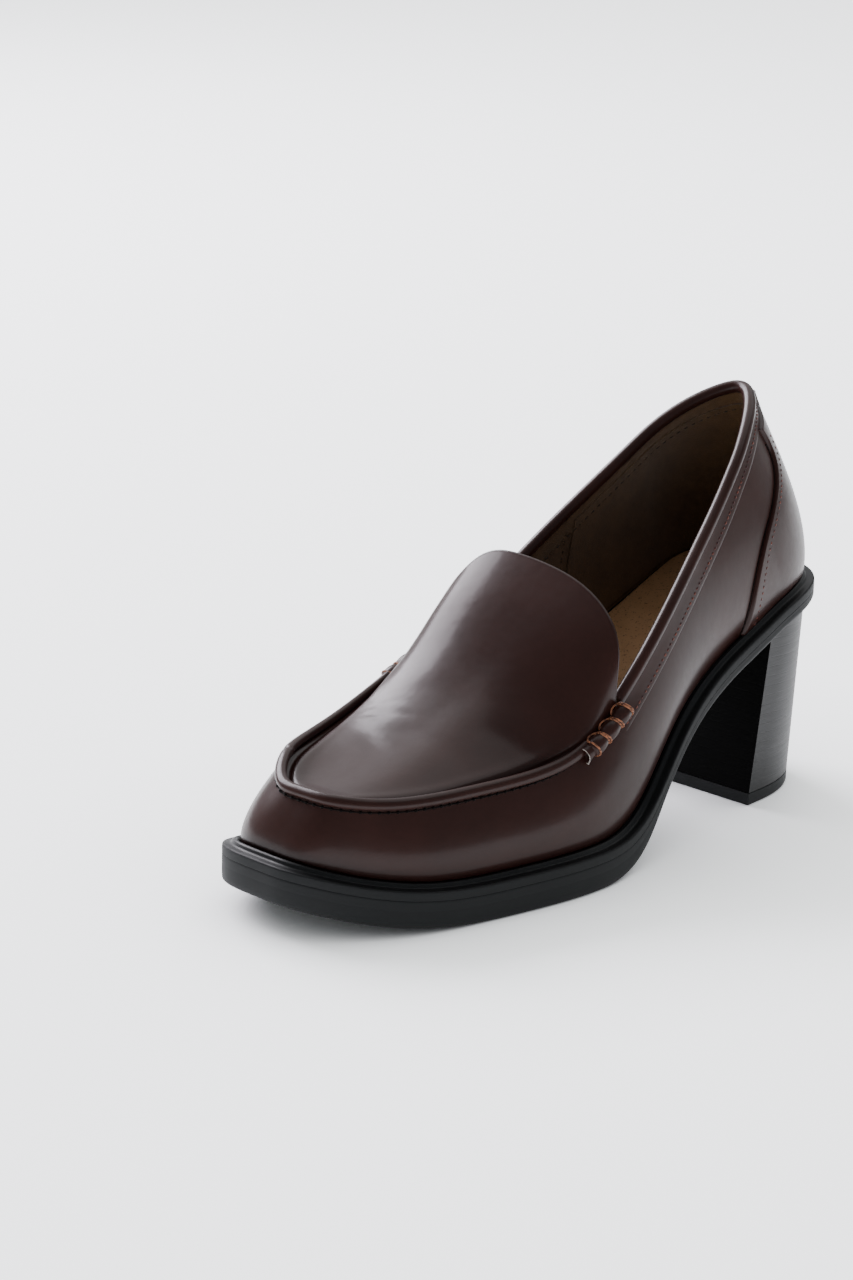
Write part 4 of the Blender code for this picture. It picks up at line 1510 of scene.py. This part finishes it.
@dataclass
class Collar:
    """Rolled top edge with the band, counter and back tab under it, and their stitching."""

    shoe: Shoe
    roll_radius: float = 0.0022
    roll_start: float = 0.0042
    roll_inset: float = 0.0009
    roll_rise: float = 0.60
    band_start: float = 0.0036
    overlay: float = 0.0009
    proud: float = 0.0005
    under: float = 0.0004
    rounding: float = 0.0010
    band_lift: float = 0.0003
    band_rows: int = 18
    counter_foot: float = 0.0012
    counter_tuck: float = 0.0006
    quarter_length: float = 0.130
    counter_row: float = 0.0026
    counter_stitch: float = 0.00045
    step_shadow_reach: float = 0.0004
    step_shadow_radius: float = 0.00032
    tab_width: float = 0.0090
    tab_length: float = 0.0340
    tab_rows: int = 40
    stitch_pitch: float = 0.0021
    stitch_length: float = 0.0016
    thread_radius: float = 0.00028

    def overlay_shell(self, points: Array, normals: Array, lift: float, tucked: bool = False) -> Mesh:
        """A leather overlay on the wall with rounded edges.

        Args:
            points: Grid of points on what it lies on.
            normals: Directions out of it.
            lift: How far its face stands off.
            tucked: Whether its last row goes on under another piece.

        Returns:
            The overlay as a closed mesh.
        """
        across = np.linalg.norm(np.diff(points, axis=1), axis=2)
        near = np.pad(np.cumsum(across, axis=1), ((0, 0), (1, 0)))
        far = near[:, -1:] - near + (1.0 if tucked else 0.0)
        along = np.linalg.norm(np.diff(points, axis=0), axis=2)
        first = np.pad(np.cumsum(along, axis=0), ((1, 0), (0, 0)))
        last = first[-1:] - first
        edge = np.clip(np.minimum.reduce([near, far, first, last]) / self.rounding, 0, 1)
        height = lift * (0.15 + 0.85 * np.sqrt(1 - (1 - edge) ** 2))
        outer = points + normals * height[..., None]
        return shell(outer, points - normals * self.under, ring=False)

    def roll(self) -> Mesh:
        """The rolled edge on the wall's top.

        Returns:
            The roll.
        """
        last = self.shoe.last
        run = self.shoe.collar(self.roll_start, 120)
        edge = np.array([last.top.at(side, s) for side, s in run])
        below = np.array([last.wall(side, s, 0.97) for side, s in run])
        normal = np.array([last.wall_normal(side, s, 1.0) for side, s in run])
        along = unit(np.gradient(edge, axis=0))
        up = edge - below
        up = unit(up - along * np.sum(up * along, axis=1, keepdims=True))
        route = edge - normal * self.roll_inset + up * self.roll_radius * self.roll_rise
        sideways, up = frames(route, up)
        return sweep(route, sideways, up, circle(self.roll_radius, 24))

    def band_edge(self, side: Side, station: float) -> float:
        """Share of the wall's height at the band's lower edge.

        Args:
            side: The side.
            station: Station from 0 at the toe to 1 at the heel.

        Returns:
            The share.
        """
        width = float(spline(BAND_ROWS, 1)(station)) * MM
        return 1 - width / self.shoe.last.wall_height(side, station)

    def build(self) -> None:
        """Builds the roll, band, counter, tab and stitches."""
        last = self.shoe.last
        leather = [self.shoe.finishes.leather]
        roll = self.roll()
        self.shoe.add("collar_binding", roll, leather, Slot.LEATHER, ["collar_roll"],
                      np.zeros(len(roll.points)))
        run = self.shoe.collar(self.band_start, 130)
        levels = spaced(self.band_rows, 1.8)
        points, normals, row, out = [], [], [], []
        for side, station in run:
            edge = self.band_edge(side, station)
            rises = edge + (1 - edge) * levels
            points.append(last.wall(side, np.full(self.band_rows, station), rises))
            normals.append(last.wall_normal(side, np.full(self.band_rows, station), rises))
            inset = float(spline(BAND_ROWS, 2)(station)) * MM
            row.append(last.wall(side, station, edge + inset / last.wall_height(side, station)))
            out.append(last.wall_normal(side, station, edge))
        band = self.overlay_shell(np.array(points), np.array(normals), self.band_lift, tucked=True)
        self.shoe.add("collar_band", band, leather, Slot.LEATHER, ["collar_strip"],
                      np.zeros(len(band.points)))
        row, out = np.array(row), np.array(out)
        self.row("band_stitches", row + out * (self.band_lift + 0.05 * MM), out)
        self.counter(leather)
        self.tab(leather)

    def row(self, name: str, route: Array, out: Array) -> None:
        """Adds a row of tonal stitches.

        Args:
            name: The row's name.
            route: Points along it.
            out: Directions out of the leather.
        """
        thread = stitches(route, out, self.stitch_pitch, self.stitch_length, self.thread_radius)
        self.shoe.add(name, thread, [self.shoe.finishes.tonal], Slot.LEATHER)

    def counter(self, leather: list[bpy.types.Material]) -> None:
        """Builds the heel counter, the row of stitches behind its front edges and a painted shadow line at
        their foot.

        Args:
            leather: The finishes of a leather piece.
        """
        last = self.shoe.last
        edge = spline(COUNTER_ROWS, 1)
        levels = spaced(60, 1.3)
        points, normals = [], []
        for side in Side:
            foot = self.counter_foot / last.wall_height(side, COUNTER_ROWS[0][1])
            tuck = self.counter_tuck / last.wall_height(side, 0.935)
            top = self.band_edge(side, COUNTER_ROWS[-1][1]) + tuck
            rise = foot + (top - foot) * levels
            shares = np.linspace(0, 1, 56) ** 1.4
            for share in (shares if side is Side.OUTER else shares[::-1][1:]):
                station = edge(rise) + (1 - edge(rise)) * share
                points.append(last.wall(side, station, rise))
                normals.append(last.wall_normal(side, station, rise))
        body = self.overlay_shell(np.array(points), np.array(normals), self.overlay + self.proud)
        self.shoe.add("heel_counter", body, leather, Slot.LEATHER, ["counter"], np.zeros(len(body.points)))
        rise = np.linspace(0.04, 0.84, 90)
        for side in Side:
            name = side.name.lower()
            station = edge(rise) + self.counter_row / self.quarter_length
            out = last.wall_normal(side, station, rise)
            route = last.wall(side, station, rise) + out * (self.overlay + self.counter_stitch)
            self.row(f"counter_stitches_{name}", route, out)
            # A thin dark tube at the foot of the counter's front edge is a painted shadow of its step.
            foot = last.wall(side, edge(rise) - self.step_shadow_reach / self.quarter_length, rise)
            sideways, up = frames(foot, last.wall_normal(side, edge(rise), rise))
            seam = sweep(foot, sideways, up, circle(self.step_shadow_radius, 8))
            self.shoe.add(f"counter_step_shadow_{name}", seam, [self.shoe.finishes.sunk_thread], Slot.LEATHER)

    def tab(self, leather: list[bpy.types.Material]) -> None:
        """Builds the narrow stay down the heel and its stitches.

        Args:
            leather: The finishes of a leather piece.
        """
        last = self.shoe.last
        length = self.tab_length / last.wall_height(Side.OUTER, 1.0)
        levels = 1 - length * (1 - spaced(self.tab_rows, 1.6))
        face = 2 * self.overlay + self.proud
        shares = np.linspace(1, 0, 11)
        points, normals = [], []
        for side in Side:
            reach = 1 - last.top.after(side, 1.0, -self.tab_width / 2)
            for share in (shares if side is Side.OUTER else shares[::-1][1:]):
                station = np.full(self.tab_rows, 1 - reach * share)
                points.append(last.wall(side, station, levels))
                normals.append(last.wall_normal(side, station, levels))
        points, normals = np.array(points), np.array(normals)
        body = self.overlay_shell(points, normals, face)
        self.shoe.add("heel_stay", body, leather, Slot.LEATHER, ["back_tab"], np.zeros(len(body.points)))
        for number, column in ((1, 3), (2, len(points) - 4)):
            route = points[column] + normals[column] * face
            self.row(f"stay_stitches_{number}", route[2:-2], normals[column][2:-2])


@dataclass
class Lining:
    """Heel pocket inside the quarters, and the stitches that show on the lining."""

    shoe: Shoe
    wall_thickness: float = 0.0020
    pocket_station: float = 0.66
    pocket_lean: float = 0.05
    pocket_thickness: float = 0.0007
    row_setback: float = 0.012
    top_row: float = 0.0065
    collar_start: float = 0.0060
    stitch_pitch: float = 0.0030
    stitch_length: float = 0.0020
    thread_radius: float = 0.00025
    thread_lift: float = 0.0001

    def inside(self, side: Side, station: Array, rise: Array) -> tuple[Array, Array]:
        """Points on the wall's inner face, and directions into the shoe.

        Args:
            side: The side.
            station: Stations from 0 at the toe to 1 at the heel.
            rise: Shares of the wall's height.

        Returns:
            The points and the directions.
        """
        normal = self.shoe.last.wall_normal(side, station, rise)
        return self.shoe.last.wall(side, station, rise) - normal * self.wall_thickness, -normal

    def build(self) -> None:
        """Builds the pocket and its stitches."""
        finishes = self.shoe.finishes
        levels = np.linspace(0.03, 0.93, 40)
        points, normals = [], []
        for side in Side:
            shares = np.linspace(0, 1, 60)
            for share in (shares if side is Side.OUTER else shares[::-1][1:]):
                start = self.pocket_station + self.pocket_lean * levels
                place, away = self.inside(side, start + (1 - start) * share, levels)
                points.append(place)
                normals.append(away)
        points, normals = np.array(points), np.array(normals)
        outer = points + normals * self.pocket_thickness
        pocket = shell(outer, points - normals * 0.2 * MM, ring=False)
        self.shoe.add("heel_pocket_lining", pocket, [finishes.lining], Slot.SOCK)
        for side in Side:
            rise = np.linspace(0.12, 0.90, 80)
            station = self.pocket_station + self.pocket_lean * rise - self.row_setback
            route, away = self.inside(side, station, rise)
            self.row(f"pocket_stitches_{side.name.lower()}", route + away * self.thread_lift, away)
        rows = []
        for side, station in self.shoe.collar(self.collar_start, 110):
            rise = 1 - self.top_row / self.shoe.last.wall_height(side, station)
            rows.append(self.inside(side, station, rise))
        route, away = np.array([row[0] for row in rows]), np.array([row[1] for row in rows])
        self.row("collar_lining_stitches", route + away * (self.pocket_thickness + self.thread_lift), away)

    def row(self, name: str, route: Array, away: Array) -> None:
        """Adds a row of stitches to the lining.

        Args:
            name: The row's name.
            route: Points along it.
            away: Directions into the shoe.
        """
        thread = stitches(route, away, self.stitch_pitch, self.stitch_length, self.thread_radius)
        self.shoe.add(name, thread, [self.shoe.finishes.lining_thread], Slot.SOCK)


@dataclass
class SoleUnit:
    """Sock, rand and outsole."""

    shoe: Shoe
    margin: float = 0.0062
    edge: float = 0.0016
    lip: float = 0.0005
    welt_height: float = 0.0030
    welt_bead: float = 0.0013
    welt_inset: float = 0.0007
    plate: float = 0.0075
    sock_thickness: float = 0.0025
    sock_inset: float = 0.0026
    gap: float = 0.0003
    waist_start: float = 0.42
    waist_length: float = 0.16
    groove_depth: float = 0.00004
    groove_place: float = 0.42
    foot_inset: float = 0.0030
    flank: float = 0.00045

    def depth(self, y: float, height: float) -> float:
        """How far the outsole's underside lies below the feather line.

        Args:
            y: Distance behind the toe.
            height: Height of the feather line there.

        Returns:
            The depth.
        """
        share = y / self.shoe.last.length
        waist = float(ease(np.array((share - self.waist_start) / self.waist_length)))
        return (height - float(self.shoe.last.spring(y))) * (1 - waist) + self.plate * waist

    def rings(self, section: Callable[[float], Array]) -> Array:
        """Profiles round the feather line.

        Args:
            section: Gives the section for a depth, as distance out and height.

        Returns:
            A profile for each column.
        """
        last = self.shoe.last
        rows = []
        for side, station in self.shoe.around(40, 60, 90):
            foot = last.feather.at(side, station)
            out = last.feather.outward(side, station)
            profile = section(self.depth(foot[1], foot[2]))
            rows.append(foot + out * profile[:, :1] + np.array([0.0, 0.0, 1.0]) * profile[:, 1:])
        return np.array(rows)

    def outsole_section(self, depth: float) -> Array:
        """Section of the outsole's edge, with a parting groove round its side.

        Args:
            depth: Depth of the underside.

        Returns:
            The section's corners.
        """
        ledge = -self.welt_height - self.gap
        low = self.edge - depth
        groove = ledge + self.groove_place * (low - ledge)
        half = min(self.flank, 0.2 * (ledge - low))
        corners = [
            (-self.foot_inset, -self.gap), (self.welt_inset - self.gap, -self.gap),
            (self.welt_inset - self.gap, ledge), (self.margin - 0.3 * self.lip, ledge),
            (self.margin, ledge - 0.3 * self.lip), (self.margin, groove + half),
            (self.margin - self.groove_depth, groove), (self.margin, groove - half), (self.margin, low),
            (self.margin - 0.3 * self.edge, 0.3 * self.edge - depth), (self.margin - self.edge, -depth)]
        return chaikin(np.array(corners), 1, closed=False)

    def build(self) -> None:
        """Builds the outsole, rand and sock."""
        finishes = self.shoe.finishes
        self.shoe.add("moulded_outsole", ring_body(self.rings(self.outsole_section)), [finishes.rubber],
                      Slot.RUBBER, ["outsole"], sharp=60.0)
        width = self.margin - self.welt_inset
        section = chaikin(np.array([
            (self.welt_inset + width * share, self.welt_height * (height - 1) + self.welt_bead * bead)
            for share, height, bead in WELT_SECTION]), 2, closed=True)
        profiles = self.rings(lambda depth: section)
        index = np.arange(profiles.shape[0] * profiles.shape[1]).reshape(profiles.shape[:2])
        faces = quads(np.concatenate([index, index[:, :1]], axis=1), ring=True)
        middle = (section + np.roll(section, -1, axis=0)) / 2
        flank = (middle[:, 0] > self.margin - self.flank).astype(int)
        rand = Mesh(profiles.reshape(-1, 3), faces, np.tile(flank, len(profiles)))
        self.shoe.add("glossy_rand", rand, [finishes.rand, finishes.rubber], Slot.RAND, ["welt"], sharp=70.0)
        top, out = self.sock_thickness, -self.sock_inset
        edge = chaikin(np.array([
            (out - 4.0 * MM, top), (out - 1.2 * MM, top), (out - 0.3 * MM, top - 0.5 * MM), (out, 0.0)]),
            2, closed=False)
        sock = ring_body(self.rings(lambda depth: edge))
        self.shoe.add("leather_sock", sock, [finishes.sock], Slot.SOCK, ["insole"])


@dataclass
class Heel:
    """Stacked block with a flat breast, and its lift."""

    shoe: Shoe
    breast_top: float = 0.2050
    breast_foot: float = 0.1970
    margin: float = 0.0030
    undercut: float = 0.0030
    plate: float = 0.0075
    lift: float = 0.0045
    gap: float = 0.0003

    def outline(self, share: float) -> Array:
        """Outline in plan, share 0 on the floor and 1 under the plate.

        Args:
            share: Share of the block's height.

        Returns:
            Points round the outline.
        """
        last = self.shoe.last
        breast = self.breast_foot + (self.breast_top - self.breast_foot) * share
        back_top = last.length + self.margin
        back = back_top - self.undercut * (1 - share)
        halves = []
        for side in Side:
            stations, points = last.feather.sides[side]
            behind = stations > last.feather.toe_station
            start = float(np.interp(self.breast_top, points[behind, 1], stations[behind]))
            run = start + (1 - start) * spaced(60, 1.15)
            plan = last.feather.at(side, run) + last.feather.outward(side, run) * self.margin
            plan[:, 1] = breast + (plan[:, 1] - plan[0, 1]) * (back - breast) / (back_top - plan[0, 1])
            halves.append(plan)
        return np.concatenate([halves[0], halves[1][::-1][1:]])

    def block(self) -> Array:
        """Profiles of the block from the plate down to the lift, with a close row next to each rim.

        Returns:
            A profile for each column.
        """
        top = self.outline(1.0)[:, 2] - self.plate - self.gap
        low = self.lift + self.gap
        rows = []
        for share in np.concatenate([[1.0], np.linspace(0.995, 0.005, 26), [0.0]]):
            ring = self.outline(float(share))
            ring[:, 2] = low + (top - low) * share
            rows.append(ring)
        return np.array(rows).transpose(1, 0, 2)

    def build(self) -> None:
        """Builds the block and its lift."""
        finishes = self.shoe.finishes
        profiles = self.block()
        block = ring_body(profiles, tip_first=False)
        columns, rows = profiles.shape[:2]
        breast = np.arange(len(block.faces)) // (rows - 1) == columns - 1
        block = Mesh(block.points, block.faces, breast.astype(int))
        # The breast faces get the darker copy of the stack, which is painted shade.
        self.shoe.add("stacked_heel", block, [finishes.heel, finishes.breast], Slot.STACK,
                      ["heel_block"], sharp=35.0)
        rings = []
        for height, inset in ((self.lift, 0.0), (1.0 * MM, 0.0), (0.4 * MM, 0.3 * MM), (0.0, 0.9 * MM)):
            ring = self.outline(0.0)
            ring[:, 2] = 0.0
            ring -= unit(ring - ring.mean(axis=0)) * inset
            ring[:, 2] = height
            rings.append(ring)
        lift = ring_body(np.array(rings).transpose(1, 0, 2), tip_first=False)
        self.shoe.add("rubber_lift", lift, [finishes.rubber], Slot.RUBBER, ["heel_toplift"], sharp=35.0)


@dataclass
class Studio:
    """Pale floor, soft lights and the photo's camera."""

    shift: Array
    focal_px: float = 3300.0
    image_height: float = 1280.0
    azimuth: float = 42.99
    elevation: float = 17.35
    roll: float = 1.46
    place: tuple[float, float, float] = (0.6859, -0.6720, 0.3958)
    floor_half: float = 8.0
    floor_glow: float = 1.60
    shadow_reach: float = 0.11
    shadow_depth: float = 1.5
    blotch_mm: float = 1000 / 3
    sky: float = 0.38

    def camera(self) -> None:
        """The photo's camera, at its angle and distance."""
        turn, lift, roll = np.radians([self.azimuth, self.elevation, self.roll])
        back = np.array([np.sin(turn) * np.cos(lift), -np.cos(turn) * np.cos(lift), np.sin(lift)])
        level = np.array([np.cos(turn), np.sin(turn), 0.0])
        upright = np.cross(back, level)
        right = level * np.cos(roll) + upright * np.sin(roll)
        up = upright * np.cos(roll) - level * np.sin(roll)
        where = np.array(self.place) + self.shift
        data = bpy.data.cameras.new("photo_camera")
        data.sensor_width = 36.0
        data.lens = self.focal_px * data.sensor_width / self.image_height
        camera = bpy.data.objects.new("photo_camera", data)
        camera.matrix_world = Matrix(np.column_stack([right, up, back, where]).tolist() + [[0, 0, 0, 1]])
        bpy.context.scene.collection.objects.link(camera)
        bpy.context.scene.camera = camera

    def light(self, name: str, place: Sequence[float], aim: Sequence[float],
              size: tuple[float, float], power: float, code: str = "FFFFFF") -> None:
        """Adds a softbox.

        Args:
            name: Its name.
            place: Where it hangs.
            aim: Where it points.
            size: Its width and height.
            power: Its power in watts.
            code: Its colour.
        """
        data = bpy.data.lights.new(name, "AREA")
        data.shape = "RECTANGLE"
        data.size, data.size_y = size
        data.energy = power
        data.color = linear(code)[:3]
        lamp = bpy.data.objects.new(name, data)
        back = unit(np.array(place, float) - np.array(aim, float))
        right = unit(np.cross([0.0, 0.0, 1.0], back))
        up = np.cross(back, right)
        lamp.matrix_world = Matrix(np.column_stack([right, up, back, place]).tolist() + [[0, 0, 0, 1]])
        bpy.context.scene.collection.objects.link(lamp)

    def floor(self) -> None:
        """A wide pale floor that glows, with a painted contact shadow where ambient occlusion dims the glow
        near the shoe.
        """
        half = self.floor_half
        data = bpy.data.meshes.new("studio_floor")
        corners = [(-half, -half, 0), (half, -half, 0), (half, half, 0), (-half, half, 0)]
        data.from_pydata(corners, [], [(0, 1, 2, 3)])
        look = Recipe("painted_board", {"Roughness": 0.55, "Specular IOR Level": 0.25,
                                        "Emission Color": linear("F7F9FA")})
        # Ambient occlusion dims the floor's glow near the shoe: a painted contact shadow.
        hidden = look.node("ShaderNodeAmbientOcclusion", {"Distance": self.shadow_reach}, samples=16)
        open_share = look.sum("POWER", hidden.outputs["AO"], self.shadow_depth)
        look.feed(Base_Color=look.mixed(look.noise(self.blotch_mm), "EEF0F1", "F2F4F5"),
                  Emission_Strength=look.sum("MULTIPLY", open_share, self.floor_glow))
        data.materials.append(look.made)
        floor = bpy.data.objects.new("studio_floor", data)
        bpy.context.scene.collection.objects.link(floor)

    def build(self) -> None:
        """Builds the floor, the lights and the camera."""
        self.floor()
        world = bpy.data.worlds.new("studio_world")
        world.use_nodes = True
        background = world.node_tree.nodes["Background"]
        background.inputs["Color"].default_value = linear("E9EDF0")
        background.inputs["Strength"].default_value = self.sky
        bpy.context.scene.world = world
        self.light("overhead_softbox", (-0.6, 1.6, 3.0), (0.0, 0.3, 0.0), (4.0, 4.0), 72.0)
        self.light("back_left_wall", (-2.6, 2.6, 1.2), (0.0, 0.0, 0.1), (4.5, 2.2), 16.0, "F7F5FC")
        self.light("left_softbox", (-1.75, 0.1, 1.3), (0.0, 0.0, 0.08), (1.5, 1.2), 112.0, "F6F2FA")
        self.light("back_wall", (1.4, 3.4, 1.1), (0.0, 0.0, 0.1), (3.0, 2.0), 7.0)
        self.camera()


def main() -> None:
    """Builds the shoe and its studio."""
    logging.basicConfig(level=logging.INFO, format="%(name)s %(message)s")
    shoe = Shoe(Last(), Finishes.made())
    LOG.info("shift %s", np.round(shoe.shift, 5))
    for assembly in (Upper(shoe), ApronSeam(shoe), Collar(shoe), Lining(shoe), SoleUnit(shoe), Heel(shoe)):
        assembly.build()
    Studio(shoe.shift).build()


if __name__ == "__main__":
    main()
